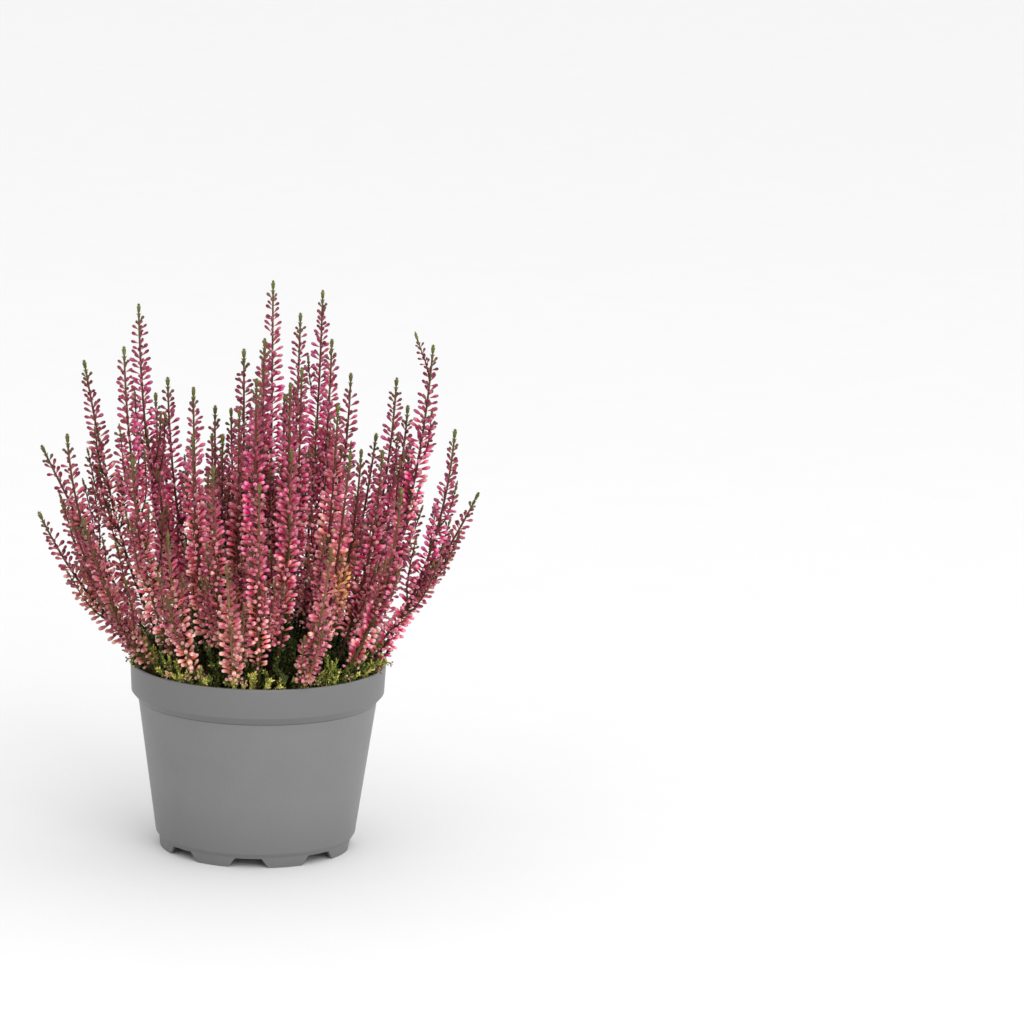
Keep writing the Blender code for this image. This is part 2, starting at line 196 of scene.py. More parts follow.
def turn_round(angle: float) -> None:
    """Turns the selection round the upright axis."""
    bpy.ops.transform.rotate(value=angle, orient_axis="Z", center_override=(0.0, 0.0, 0.0))


@dataclass
class Shape:
    """A small shape that is modelled once and copied many times. It stands on the origin along +Z."""

    verts: Array
    faces: list[tuple[int, ...]]

    @classmethod
    def taken_from(cls, piece: Piece) -> "Shape":
        """Reads a modelled piece and removes it.

        Args:
            piece: The piece, whose mesh becomes the shape.

        Returns:
            The shape.
        """
        clear_selection()
        mesh = piece.data
        verts = np.array([vert.co for vert in mesh.vertices], float)
        faces = [tuple(face.vertices) for face in mesh.polygons]
        bpy.data.objects.remove(piece, do_unlink=True)
        bpy.data.meshes.remove(mesh)
        return cls(verts, faces)


class ShapeBench:
    """Models each small shape of the plant once, most of them from a ball whose rings are moved.

    A ring is given by its height on the ball, its new height, and how many times as wide it becomes.
    """

    SLANT = math.cos(math.pi / 4)
    BUD_RINGS = ((SLANT, 0.92, 1.08), (0.0, 0.7, 1.0), (-SLANT, 0.22, 0.42), (-1.0, 0.0, 1.0))
    SCALE_LEAF_RINGS = ((0.5, 0.6, 0.8), (-0.5, 0.22, 1.05), (-1.0, 0.0, 1.0))
    NEEDLE_RINGS = ((0.0, 0.42, 1.0), (-1.0, 0.0, 1.0))
    RING_ROOM = 0.02

    def ringed(self, sides: int, rings: Sequence[Triple]) -> Piece:
        """Models a ball of radius one, moves its rings and leaves it open in edit mode.

        Args:
            sides: How many sides it has.
            rings: Its rings below the top, from the highest down to the foot.

        Returns:
            The piece.
        """
        clear_selection()
        bpy.ops.mesh.primitive_uv_sphere_add(segments=sides, ring_count=len(rings), radius=1.0)
        piece = bpy.context.object
        open_for_editing(piece)
        for height, new_height, swell in rings:
            select_where(piece, lambda place, height=height: abs(place.z - height) < self.RING_ROOM)
            stretch(swell, swell, 1.0)
            shift(0.0, 0.0, new_height - height)
        return piece

    def leaf(self, rings: Sequence[Triple], flatness: float, bent: Span, bend: float) -> Shape:
        """Models a flat leaf with four sides.

        Args:
            rings: Its rings.
            flatness: How thick it is, as a share of its width.
            bent: The heights between which it is moved outwards.
            bend: How far it is moved there.

        Returns:
            The shape.
        """
        piece = self.ringed(4, rings)
        select_all()
        stretch(1.0, flatness, 1.0)
        select_where(piece, lambda place: bent[0] < place.z < bent[1])
        shift(0.0, bend, 0.0)
        return Shape.taken_from(piece)

    def bud(self, sides: int) -> Shape:
        """Models a closed flower bud on its stalk: it widens evenly from the stalk to a blunt end."""
        return Shape.taken_from(self.ringed(sides, self.BUD_RINGS))

    def scale_leaf(self) -> Shape:
        """Models a scale leaf: a narrow blade that bulges outwards and ends in a point by the stem."""
        return self.leaf(self.SCALE_LEAF_RINGS, 0.6, (0.1, 0.9), 0.5)

    def needle(self) -> Shape:
        """Models a small leaf of the low twigs: a flat spindle with its point bent outwards."""
        return self.leaf(self.NEEDLE_RINGS, 0.5, (0.9, 1.1), 0.35)

    @staticmethod
    def tube(sides: int, cuts: int) -> Shape:
        """Models a straight closed tube of radius and length one, to be bent along a stem's line.

        Args:
            sides: How many sides it has.
            cuts: How many rings divide its length.

        Returns:
            The shape.
        """
        clear_selection()
        bpy.ops.mesh.primitive_cylinder_add(
            vertices=sides, radius=1.0, depth=1.0, location=(0.0, 0.0, 0.5), end_fill_type="TRIFAN"
        )
        piece = bpy.context.object
        seat_mesh(piece)
        open_for_editing(piece)
        shape = bmesh.from_edit_mesh(piece.data)
        for edge in shape.edges:
            first, second = edge.verts
            if abs(first.co.z - second.co.z) > 0.5:
                edge.select_set(True)
        bmesh.update_edit_mesh(piece.data)
        bpy.ops.mesh.subdivide(number_cuts=cuts)
        return Shape.taken_from(piece)

    @staticmethod
    def crumb() -> Shape:
        """Models a crumb of peat: a small lump with uneven corners.

        Returns:
            The shape.
        """
        clear_selection()
        bpy.ops.mesh.primitive_ico_sphere_add(subdivisions=1, radius=1.0)
        piece = bpy.context.object
        open_for_editing(piece)
        select_all()
        bpy.ops.transform.vertex_random(offset=0.3, seed=4)
        stretch(1.0, 0.75, 0.6)
        return Shape.taken_from(piece)


class Line:
    """A middle line of close points, with a frame at any distance along it."""

    ARC_POINTS = 14
    LEAST_BEND = 0.05

    def __init__(self, points: Array, reference: Sequence[float] = (1.0, 0.0, 0.0)) -> None:
        """Measures the line.

        Args:
            points: Its points from foot to tip.
            reference: A direction that the line nowhere runs along, which the frames are turned to.
        """
        self.points = points
        self.marks = np.concatenate([[0.0], np.cumsum(np.linalg.norm(np.diff(points, axis=0), axis=1))])
        self.tangents = unit(np.gradient(points, self.marks, axis=0))
        self.reference = np.asarray(reference, float)

    @property
    def length(self) -> float:
        """The length of the line in metres."""
        return float(self.marks[-1])

    def frames(self, along: Array) -> tuple[Array, Array]:
        """Gives the line's places and directions.

        Args:
            along: Distances from the foot of the line.

        Returns:
            The places, and for each the two directions across the line and the one along it.
        """
        place, ahead = (
            np.stack([np.interp(along, self.marks, known[:, axis]) for axis in range(3)], axis=-1)
            for known in (self.points, self.tangents)
        )
        ahead = unit(ahead)
        side = unit(self.reference - (ahead @ self.reference)[..., None] * ahead)
        return place, np.stack([side, np.cross(ahead, side), ahead], axis=-2)

    def at(self, along: float) -> tuple[Array, ...]:
        """Gives the place at one distance, the two directions across the line there and the one along it."""
        places, frames = self.frames(np.array([along]))
        return places[0], *frames[0]

    @classmethod
    def arc(cls, start: Array, leaving: Array, end: Array, arriving: Array) -> "Line":
        """Draws a smooth line between two points.

        Args:
            start: Where it starts.
            leaving: The unit direction in which it leaves.
            end: Where it ends.
            arriving: The unit direction in which it arrives.

        Returns:
            The line.
        """
        reach = np.linalg.norm(end - start) / 3
        handles = np.array([start, start + reach * leaving, end - reach * arriving, end])
        share = np.linspace(0, 1, cls.ARC_POINTS)[:, None]
        rest = 1 - share
        weights = [rest**3, 3 * rest**2 * share, 3 * rest * share**2, share**3]
        points = sum(weight * handle for weight, handle in zip(weights, handles))
        across = np.cross(leaving, end - start)
        if np.linalg.norm(across) < cls.LEAST_BEND * 3 * reach:
            across = np.cross(leaving, (0.3, 0.9, 0.1))
        return cls(points, unit(across))


def middle_line(node: str) -> Line:
    """Follows a CAD stem through the middle of its vertices, and straight under the soil.

    Args:
        node: The name of the CAD node.

    Returns:
        Its middle line, from the end under the soil to the tip.
    """
    foot_band, tip_weight, samples, degree = 4 * MM, 40.0, 70, 4
    corners = np.array([vert.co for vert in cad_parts[node].data.vertices], float)
    in_foot = corners[:, 2] < corners[:, 2].min() + foot_band
    foot, body = corners[in_foot].mean(axis=0), corners[~in_foot]
    top = body[:, 2].argmax()
    weights = np.ones(len(body))
    weights[top] = tip_weight
    heights = np.linspace(body[:, 2].min() + MM, body[top, 2], samples)
    fits = [np.polynomial.Polynomial.fit(body[:, 2], body[:, axis], degree, w=weights) for axis in (0, 1)]
    curve = np.stack([fits[0](heights), fits[1](heights), heights], axis=1)
    return Line(np.vstack([foot, curve]))


class Bundle:
    """Copies of modelled shapes gathered into one mesh, with values that the finishes read."""

    VALUES = ("outward", "shade", "warm", "young", "dusky")

    def __init__(self) -> None:
        """Starts with no copies."""
        self.verts: list[Array] = []
        self.faces: list[tuple[int, ...]] = []
        self.finish_of_face: list[int] = []
        self.values: dict[str, list[Array]] = {name: [] for name in self.VALUES}
        self.count = 0

    def keep(self, verts: Array, shape: Shape, finish: int, values: dict[str, Array]) -> None:
        """Adds the finished vertices of some copies.

        Args:
            verts: The places of the vertices, with a row for each copy.
            shape: The shape that they are copies of.
            finish: The number of the finish that they take.
            values: The values that the finish reads, one to a copy or one to a vertex.
        """
        copies, corners = verts.shape[:2]
        for index in range(copies):
            start = self.count + index * corners
            self.faces.extend(tuple(start + corner for corner in face) for face in shape.faces)
        self.finish_of_face.extend([finish] * (copies * len(shape.faces)))
        self.verts.append(verts.reshape(-1, 3))
        self.count += copies * corners
        for name in self.VALUES:
            given = np.broadcast_to(values.get(name, np.zeros((1, 1))), (copies, corners))
            self.values[name].append(given.reshape(-1))

    def stamp(
        self, shape: Shape, places: Array, frames: Array, sizes: Array, finish: int, **values: Array
    ) -> None:
        """Adds a copy of a shape at each place.

        Args:
            shape: The shape.
            places: Where each copy's foot stands.
            frames: For each copy the directions of its three sides.
            sizes: For each copy its size along those sides.
            finish: The number of the finish that the copies take.
            **values: For each copy a value that the finish reads.
        """
        if not len(places):
            return
        turned = np.einsum("nj,mj,mjk->mnk", shape.verts, sizes, frames)
        given = {name: np.asarray(value, float).reshape(-1, 1) for name, value in values.items()}
        given["outward"] = np.clip(shape.verts[:, 2], 0.0, 1.0)[None, :]
        self.keep(places[:, None, :] + turned, shape, finish, given)

    def bend(self, shape: Shape, line: Line, radii: Profile, finish: int, **values: float) -> None:
        """Adds one copy of a straight shape, bent along a line.

        Args:
            shape: A shape of length one along +Z.
            line: The line it follows.
            radii: Gives the radius for each share of the length.
            finish: The number of the finish that it takes.
            **values: Values that the finish reads.
        """
        share = np.clip(shape.verts[:, 2], 0.0, 1.0)
        places, frames = line.frames(share * line.length)
        across = np.einsum("nj,njk->nk", shape.verts[:, :2], frames[:, :2, :])
        given = {name: np.full((1, 1), value) for name, value in values.items()}
        given["outward"] = share[None, :]
        self.keep((places + radii(share)[:, None] * across)[None], shape, finish, given)

    def build(self, name: str, finishes: Sequence[Material]) -> Piece:
        """Makes the piece.

        Args:
            name: The piece's name.
            finishes: The materials that its copies take by number.

        Returns:
            The piece, at the origin, with its place in its mesh.
        """
        mesh = bpy.data.meshes.new(name)
        mesh.from_pydata(np.vstack(self.verts).tolist(), [], self.faces)
        for finish in finishes:
            mesh.materials.append(finish)
        mesh.polygons.foreach_set("material_index", self.finish_of_face)
        mesh.polygons.foreach_set("use_smooth", [True] * len(self.faces))
        for value in self.VALUES:
            attribute = mesh.attributes.new(value, "FLOAT", "POINT")
            attribute.data.foreach_set("value", np.concatenate(self.values[value]).astype(np.float32))
        mesh.update()
        made = bpy.data.objects.new(name, mesh)
        bpy.context.scene.collection.objects.link(made)
        return made


class Shading:
    """A material in the making, with short ways to add its nodes."""

    # A mix node has sockets of one name for numbers, vectors and colours, so the colour ones go by number.
    MIX_INPUTS = (0, 6, 7)
    MIX_OUTPUT = 2

    def __init__(self, name: str, **settings: object) -> None:
        """Starts the material.

        Args:
            name: Its name.
            **settings: Values for the shader's own sockets, with spaces as underscores.
        """
        self.material = bpy.data.materials.new(name)
        self.material.use_nodes = True
        self.tree = self.material.node_tree
        self.shader = self.tree.nodes["Principled BSDF"]
        self.feed(self.shader, **settings)

    def join(self, socket: Socket, value: object) -> None:
        """Joins an output to a socket, or sets the socket to a value.

        Args:
            socket: The socket.
            value: The output or the value.
        """
        if isinstance(value, Socket):
            self.tree.links.new(value, socket)
        else:
            socket.default_value = value

    def feed(self, node: Node, **inputs: object) -> None:
        """Sets or joins the inputs of a node.

        Args:
            node: The node.
            **inputs: A value or an output for each input, with spaces as underscores.
        """
        for name, value in inputs.items():
            self.join(node.inputs[name.replace("_", " ")], value)

    def node(self, kind: str, **inputs: object) -> Node:
        """Adds a node.

        Args:
            kind: The node's type.
            **inputs: A value or an output for each input, with spaces as underscores.

        Returns:
            The node.
        """
        made = self.tree.nodes.new(kind)
        self.feed(made, **inputs)
        return made

    def value_of(self, name: str) -> Socket:
        """Reads one of the values that a bundle keeps in its mesh.

        Args:
            name: The value's name.

        Returns:
            The output that gives it.
        """
        made = self.node("ShaderNodeAttribute")
        made.attribute_name = name
        return made.outputs["Fac"]

    def ramp(self, share: Socket, stops: Sequence[float], colours: Sequence[Colour]) -> Socket:
        """Turns a share into a colour.

        Args:
            share: A value from 0 to 1.
            stops: Places on the ramp.
            colours: The colour at each place.

        Returns:
            The colour.
        """
        made = self.node("ShaderNodeValToRGB", Fac=share)
        elements = made.color_ramp.elements
        while len(elements) < len(stops):
            elements.new(0.5)
        for element, place, colour in zip(elements, stops, colours):
            element.position = place
            element.color = colour
        return made.outputs["Color"]

    def mix(self, share: object, first: object, second: object) -> Socket:
        """Mixes two colours.

        Args:
            share: How much of the second colour there is.
            first: The first colour.
            second: The second colour.

        Returns:
            The mixed colour.
        """
        made = self.node("ShaderNodeMix")
        made.data_type = "RGBA"
        for index, value in zip(self.MIX_INPUTS, (share, first, second)):
            self.join(made.inputs[index], value)
        return made.outputs[self.MIX_OUTPUT]

    def scaled(
        self, value: object, to_low: float, to_high: float, low: float = 0.0, high: float = 1.0
    ) -> Socket:
        """Maps a value from one range to another, and keeps it there.

        Args:
            value: The value.
            to_low: What the start of its range becomes.
            to_high: What the end of its range becomes.
            low: Where its range starts.
            high: Where its range ends.

        Returns:
            The mapped value.
        """
        made = self.node(
            "ShaderNodeMapRange", Value=value, From_Min=low, From_Max=high, To_Min=to_low, To_Max=to_high
        )
        return made.outputs["Result"]

    def toned(self, colour: Socket, **changes: object) -> Socket:
        """Changes the hue, the saturation or the value of a colour."""
        return self.node("ShaderNodeHueSaturation", Color=colour, **changes).outputs["Color"]

    def grain(self, fine: float, coarse: float, coarse_share: float) -> tuple[Socket, ...]:
        """Places the shared grain with this material's own sizes.

        Args:
            fine: The scale of the fine noise.
            coarse: The scale of the coarse noise.
            coarse_share: How much of the coarse noise there is.

        Returns:
            The grain as a share from 0 to 1, and as a height.
        """
        made = self.node("ShaderNodeGroup")
        made.node_tree = grain_group()
        self.feed(made, Fine_Scale=fine, Coarse_Scale=coarse, Coarse_Share=coarse_share)
        return made.outputs["Share"], made.outputs["Height"]

    def bump(self, height: Socket, strength: float, distance: float) -> None:
        """Raises the surface by a height.

        Args:
            height: The height, from 0 to 1.
            strength: How strongly it shows.
            distance: How far a height of one raises the surface.
        """
        made = self.node("ShaderNodeBump", Height=height, Strength=strength, Distance=distance)
        self.feed(self.shader, Normal=made.outputs["Normal"])

    def colour(self, colour: object) -> None:
        """Gives the surface its colour."""
        self.feed(self.shader, Base_Color=colour)


def grain_group() -> bpy.types.NodeTree:
    """Builds the shared grain once: fine and coarse noise together, as a share and as a height.

    Returns:
        The node group, the same one at each call.
    """
    name = "grain"
    if name in bpy.data.node_groups:
        return bpy.data.node_groups[name]
    detail, lowest, highest = 3.0, 0.3, 0.7
    group = bpy.data.node_groups.new(name, "ShaderNodeTree")
    sockets = {"INPUT": ("Fine Scale", "Coarse Scale", "Coarse Share"), "OUTPUT": ("Share", "Height")}
    for way, names in sockets.items():
        for socket in names:
            group.interface.new_socket(socket, in_out=way, socket_type="NodeSocketFloat")
    nodes, link = group.nodes, group.links.new
    inside, outside = nodes.new("NodeGroupInput"), nodes.new("NodeGroupOutput")
    place = nodes.new("ShaderNodeTexCoord").outputs["Object"]
    blend = nodes.new("ShaderNodeMix")
    link(inside.outputs["Coarse Share"], blend.inputs["Factor"])
    for size, slot in (("Fine", "A"), ("Coarse", "B")):
        noise = nodes.new("ShaderNodeTexNoise")
        noise.inputs["Detail"].default_value = detail
        link(place, noise.inputs["Vector"])
        link(inside.outputs[f"{size} Scale"], noise.inputs["Scale"])
        link(noise.outputs["Fac"], blend.inputs[slot])
    spread = nodes.new("ShaderNodeMapRange")
    spread.inputs["From Min"].default_value = lowest
    spread.inputs["From Max"].default_value = highest
    link(blend.outputs["Result"], spread.inputs["Value"])
    link(spread.outputs["Result"], outside.inputs["Share"])
    link(blend.outputs["Result"], outside.inputs["Height"])
    return group


@dataclass(frozen=True)
class PotPlastic:
    """Grey moulded plastic, dull all over, with the faint mottling of a recycled mix."""

    body: Colour = linear(118, 118, 119)
    clouded: Colour = linear(112, 112, 113)
    foot: Colour = linear(100, 100, 101)
    # Painted shade: the collar is darker, as if the plant above it shaded it.
    collar: Colour = linear(106, 106, 107)
    # Painted shadow: a dark line in the corner under the collar, where the collar shades the body.
    corner: Colour = linear(80, 80, 81)
    collar_height: float = 77 * MM
    shadow_line_reach: float = 0.5 * MM
    foot_reach: float = 34 * MM
    foot_share: float = 0.6
    roughness: Span = (0.41, 0.52)
    grain: Triple = (1400.0, 60.0, 0.35)
    relief: Span = (0.12, 0.08 * MM)

    def make(self) -> Material:
        """Makes the material: darker at the foot, painted shade on the collar, a painted shadow line under
        the collar.

        Returns:
            The material.
        """
        shading = Shading("grey_pot_plastic", Specular_IOR_Level=0.4)
        share, relief = shading.grain(*self.grain)
        place = shading.node("ShaderNodeTexCoord").outputs["Object"]
        height = shading.node("ShaderNodeSeparateXYZ", Vector=place).outputs["Z"]
        collar, reach = self.collar_height, self.shadow_line_reach
        near_foot = shading.scaled(height, self.foot_share, 0.0, 0.0, self.foot_reach)
        # Painted shadow line in the corner under the collar.
        into_shadow_line = shading.scaled(height, 0.0, 1.0, collar - reach, collar)
        # Blends up into the painted shade of the collar.
        into_collar_shade = shading.scaled(height, 0.0, 1.0, collar, collar + reach)
        body = shading.mix(near_foot, shading.mix(share, self.body, self.clouded), self.foot)
        below = shading.mix(into_shadow_line, body, self.corner)
        shading.colour(shading.mix(into_collar_shade, below, self.collar))
        shading.feed(shading.shader, Roughness=shading.scaled(share, *self.roughness))
        shading.bump(relief, *self.relief)
        return shading.material


@dataclass(frozen=True)
class Peat:
    """Dark crumbly peat with paler fibres."""

    dark: Colour = linear(38, 28, 20)
    pale: Colour = linear(92, 68, 46)
    grain: Triple = (1900.0, 260.0, 0.4)
    relief: Span = (0.9, 0.9 * MM)

    def make(self) -> Material:
        """Makes the material.

        Returns:
            The material.
        """
        shading = Shading("peat", Roughness=0.95, Specular_IOR_Level=0.15)
        share, relief = shading.grain(*self.grain)
        shading.colour(shading.mix(share, self.dark, self.pale))
        shading.bump(relief, *self.relief)
        return shading.material


@dataclass(frozen=True)
class BudPetal:
    """Closed sepals: deep at the stalk, paler at the blunt end and deep again in the middle of it."""

    stops: tuple[float, ...] = (0.22, 0.6, 0.9, 1.0)
    purple: Colours = (linear(130, 26, 66), linear(202, 46, 120), linear(240, 148, 192), linear(150, 28, 82))
    crimson: Colours = (linear(130, 32, 46), linear(220, 58, 110), linear(248, 171, 191), linear(160, 40, 64))
    salmon: Colours = (linear(128, 70, 44), linear(224, 134, 120), linear(249, 210, 197), linear(162, 80, 60))
    dusky: Colours = (linear(176, 124, 106), linear(156, 64, 90), linear(100, 40, 56), linear(80, 32, 42))
    unripe: Colour = linear(92, 84, 56)
    faded: Colour = linear(238, 176, 96)
    hues: Span = (0.488, 0.51)
    saturations: Span = (0.95, 1.12)
    brightness: Span = (0.77, 1.4)
    bleed: Triple = (1.0, 0.3, 0.35)
    bleed_scale: float = 0.8 * MM
    grain: Triple = (2600.0, 260.0, 0.5)
    relief: Span = (0.2, 0.1 * MM)

    def make(self) -> Material:
        """Makes the material, which reads how warm, dusky, young and bright each bud is.

        Returns:
            The material.
        """
        shading = Shading(
            "heather_bud", Roughness=0.55, Specular_IOR_Level=0.2, Subsurface_Weight=0.1,
            Subsurface_Radius=self.bleed, Subsurface_Scale=self.bleed_scale,
        )
        outward, warm, young = (shading.value_of(name) for name in ("outward", "warm", "young"))
        purple, crimson, salmon, dusky = (
            shading.ramp(outward, self.stops, tones)
            for tones in (self.purple, self.crimson, self.salmon, self.dusky)
        )
        cool = shading.mix(shading.scaled(warm, 0.0, 1.0, 0.0, -1.0), crimson, purple)
        lively = shading.mix(shading.scaled(warm, 0.0, 1.0), cool, salmon)
        petal = shading.mix(shading.value_of("dusky"), lively, dusky)
        share, relief = shading.grain(*self.grain)
        # The value follows each bud's shade value, which carries painted shade and painted light as well as
        # its own tone.
        mottled = shading.toned(
            petal,
            Hue=shading.scaled(share, *self.hues),
            Saturation=shading.scaled(share, *self.saturations),
            Value=shading.scaled(shading.value_of("shade"), *self.brightness),
        )
        fresh = shading.mix(shading.scaled(young, 0.0, 1.0), mottled, self.unripe)
        shading.colour(shading.mix(shading.scaled(young, 0.0, 1.0, 0.0, -1.0), fresh, self.faded))
        shading.bump(relief, *self.relief)
        return shading.material


@dataclass(frozen=True)
class StemBark:
    """Thin stems: brown bark below that turns olive towards the tip, and fresh green on the young ones."""

    stops: tuple[float, ...] = (0.05, 0.8, 0.96)
    brown: Colours = (linear(58, 40, 28), linear(92, 50, 42), linear(94, 80, 50))
    fresh: Colours = (linear(126, 124, 66), linear(132, 112, 70), linear(106, 100, 58))
    brightness: Span = (0.75, 1.15)
    grain: Triple = (2400.0, 420.0, 0.5)
    relief: Span = (0.5, 0.25 * MM)

    def make(self) -> Material:
        """Makes the material.

        Returns:
            The material.
        """
        shading = Shading("stem_bark", Roughness=0.7, Specular_IOR_Level=0.25)
        outward = shading.value_of("outward")
        brown, fresh = (shading.ramp(outward, self.stops, tones) for tones in (self.brown, self.fresh))
        share, relief = shading.grain(*self.grain)
        bark = shading.mix(shading.value_of("warm"), brown, fresh)
        shading.colour(shading.toned(bark, Value=shading.scaled(share, *self.brightness)))
        shading.bump(relief, *self.relief)
        return shading.material


@dataclass(frozen=True)
class ScaleLeaf:
    """Small leaves: dark green inside the plant, which is partly painted shade, fresh green at the tips, a
    few of them yellow.
    """

    stops: tuple[float, ...] = (0.0, 0.45, 0.8, 1.0)
    # The darkest green also serves as painted shade for the leaves inside the plant.
    dark: Colour = linear(26, 37, 15)
    green: Colour = linear(100, 116, 50)
    bright: Colour = linear(176, 186, 74)
    yellow: Colour = linear(234, 220, 122)
    olive: Colour = linear(122, 94, 56)
    brightness: Span = (0.8, 1.15)
    specks: Span = (0.0, 0.25)
    grain: Triple = (2200.0, 400.0, 0.5)
    relief: Span = (0.25, 0.15 * MM)

    def make(self) -> Material:
        """Makes the material.

        Returns:
            The material.
        """
        shading = Shading("heather_leaf", Roughness=0.55, Specular_IOR_Level=0.3)
        tones = (self.dark, self.green, self.bright, self.yellow)
        tone = shading.ramp(shading.value_of("shade"), self.stops, tones)
        share, relief = shading.grain(*self.grain)
        browned = shading.mix(shading.value_of("warm"), tone, self.olive)
        varied = shading.toned(browned, Value=shading.scaled(shading.value_of("outward"), *self.brightness))
        shading.colour(shading.mix(shading.scaled(share, *self.specks), varied, self.dark))
        shading.bump(relief, *self.relief)
        return shading.material


@dataclass(frozen=True)
class FloorPaper:
    """The pale paper that the plant stands on."""

    pale: Colour = linear(220, 220, 220)
    clouded: Colour = linear(218, 218, 218)
    grain: Triple = (300.0, 20.0, 0.5)

    def make(self) -> Material:
        """Makes the material.

        Returns:
            The material.
        """
        shading = Shading("pale_paper", Roughness=0.9, Specular_IOR_Level=0.1)
        share, _ = shading.grain(*self.grain)
        shading.colour(shading.mix(share, self.pale, self.clouded))
        return shading.material


@dataclass
class Pot:
    """The nursery pot: a tapered wall on a stepped and notched foot, and a straight collar with a lip."""

    finish: Material
    sides: int = 96
    wall: float = 1.5 * MM
    floor_under: float = 3.2 * MM
    floor_top: float = 4.6 * MM
    foot: Span = (48.8 * MM, 0.0)
    foot_top: Span = (49.4 * MM, 5.4 * MM)
    body_foot: Span = (51.0 * MM, 7.6 * MM)
    collar_foot: Span = (60.7 * MM, 76.7 * MM)
    collar_turn: Span = (64.3 * MM, 80.9 * MM)
    rim: Span = (65.0 * MM, 96.0 * MM)
    lip_radius: float = 0.85 * MM
    middle_radius: float = 2.0 * MM
    notches: int = 8
    notch_turn: float = math.radians(-94)
    notch_widths: Span = (22 * MM, 13.4 * MM)
    notch_height: float = 4.9 * MM
    notch_radii: Span = (37 * MM, 56 * MM)
    edge_width: float = 0.35 * MM
    edge_angle: float = math.radians(24)
    smooth_angle: float = math.radians(32)

    def section(self) -> list[Span]:
        """Gives the wall's section, from under the floor's middle, up the outside and down the inside.

        Returns:
            Pairs of a radius and a height.
        """
        wall = self.wall
        lip = self.lip_radius
        lip_middle = (self.rim[0] - lip, self.rim[1] - lip)
        turns = [math.radians(angle) for angle in (0, 45, 90, 135, 180)]
        return [
            (self.middle_radius, self.floor_under),
            (self.foot[0] - wall, self.floor_under),
            (self.foot[0] - wall, 0.0),
            self.foot,
            self.foot_top,
            self.body_foot,
            self.collar_foot,
            self.collar_turn,
            *((lip_middle[0] + lip * math.cos(turn), lip_middle[1] + lip * math.sin(turn)) for turn in turns),
            (self.collar_turn[0] - wall, self.collar_turn[1] + 0.5 * wall),
            (self.collar_foot[0] - wall, self.collar_foot[1] + 0.5 * wall),
            (self.body_foot[0] - wall, self.body_foot[1] + wall),
            (self.body_foot[0] - 2 * wall, self.floor_top),
            (self.middle_radius, self.floor_top),
        ]

    def shell(self) -> Piece:
        """Draws the section up ring by ring from a circle under the floor.

        Returns:
            The closed wall and floor.
        """
        section = self.section()
        radius, height = section[0]
        clear_selection()
        bpy.ops.mesh.primitive_circle_add(
            vertices=self.sides, radius=radius, fill_type="NOTHING", location=(0.0, 0.0, height)
        )
        pot = bpy.context.object
        pot.name = pot.data.name = "plant_pot"
        seat_mesh(pot)
        open_for_editing(pot)
        select_all()
        for next_radius, next_height in section[1:]:
            rise = {"value": (0.0, 0.0, next_height - height)}
            bpy.ops.mesh.extrude_region_move(TRANSFORM_OT_translate=rise)
            stretch(next_radius / radius, next_radius / radius, 1.0)
            radius, height = next_radius, next_height
        bpy.ops.mesh.edge_face_add()
        under_floor = self.floor_top - 0.5 * MM
        select_where(pot, lambda place: place.xy.length < 1.01 * radius and place.z < under_floor)
        bpy.ops.mesh.edge_face_add()
        select_all()
        bpy.ops.mesh.normals_make_consistent(inside=False)
        return pot

    def notch_cutter(self) -> Piece:
        """Models the wedge of one drainage notch, and turns copies of it round the foot.

        Returns:
            The wedges as one object.
        """
        inner, outer = self.notch_radii
        below, above = self.notch_widths
        clear_selection()
        bpy.ops.mesh.primitive_cube_add(size=1.0)
        wedges = bpy.context.object
        open_for_editing(wedges)
        select_all()
        stretch(outer - inner, below, self.notch_height + MM)
        shift(0.5 * (inner + outer), 0.0, 0.5 * (self.notch_height - MM))
        select_where(wedges, lambda place: place.z > 0)
        stretch(1.0, above / below, 1.0)
        select_all()
        turn_round(-self.notch_turn)
        for _ in range(self.notches - 1):
            bpy.ops.mesh.duplicate()
            turn_round(math.tau / self.notches)
        clear_selection()
        return wedges

    def build(self) -> Piece:
        """Builds and dresses the pot.

        Returns:
            The piece that stands for the CAD pot.
        """
        pot = self.shell()
        wedges = self.notch_cutter()
        cut = pot.modifiers.new("notches", "BOOLEAN")
        cut.operation = "DIFFERENCE"
        cut.solver = "EXACT"
        cut.object = wedges
        soften = pot.modifiers.new("soft_edges", "BEVEL")
        soften.width = self.edge_width
        soften.segments = 2
        soften.limit_method = "ANGLE"
        soften.angle_limit = self.edge_angle
        pick(pot)
        for modifier in list(pot.modifiers):
            bpy.ops.object.modifier_apply(modifier=modifier.name)
        bpy.data.objects.remove(wedges, do_unlink=True)
        bpy.ops.object.shade_smooth_by_angle(angle=self.smooth_angle)
        pot.data.materials.clear()
        pot.data.materials.append(self.finish)
        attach(pot, "root")
        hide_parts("pot")
        return pot


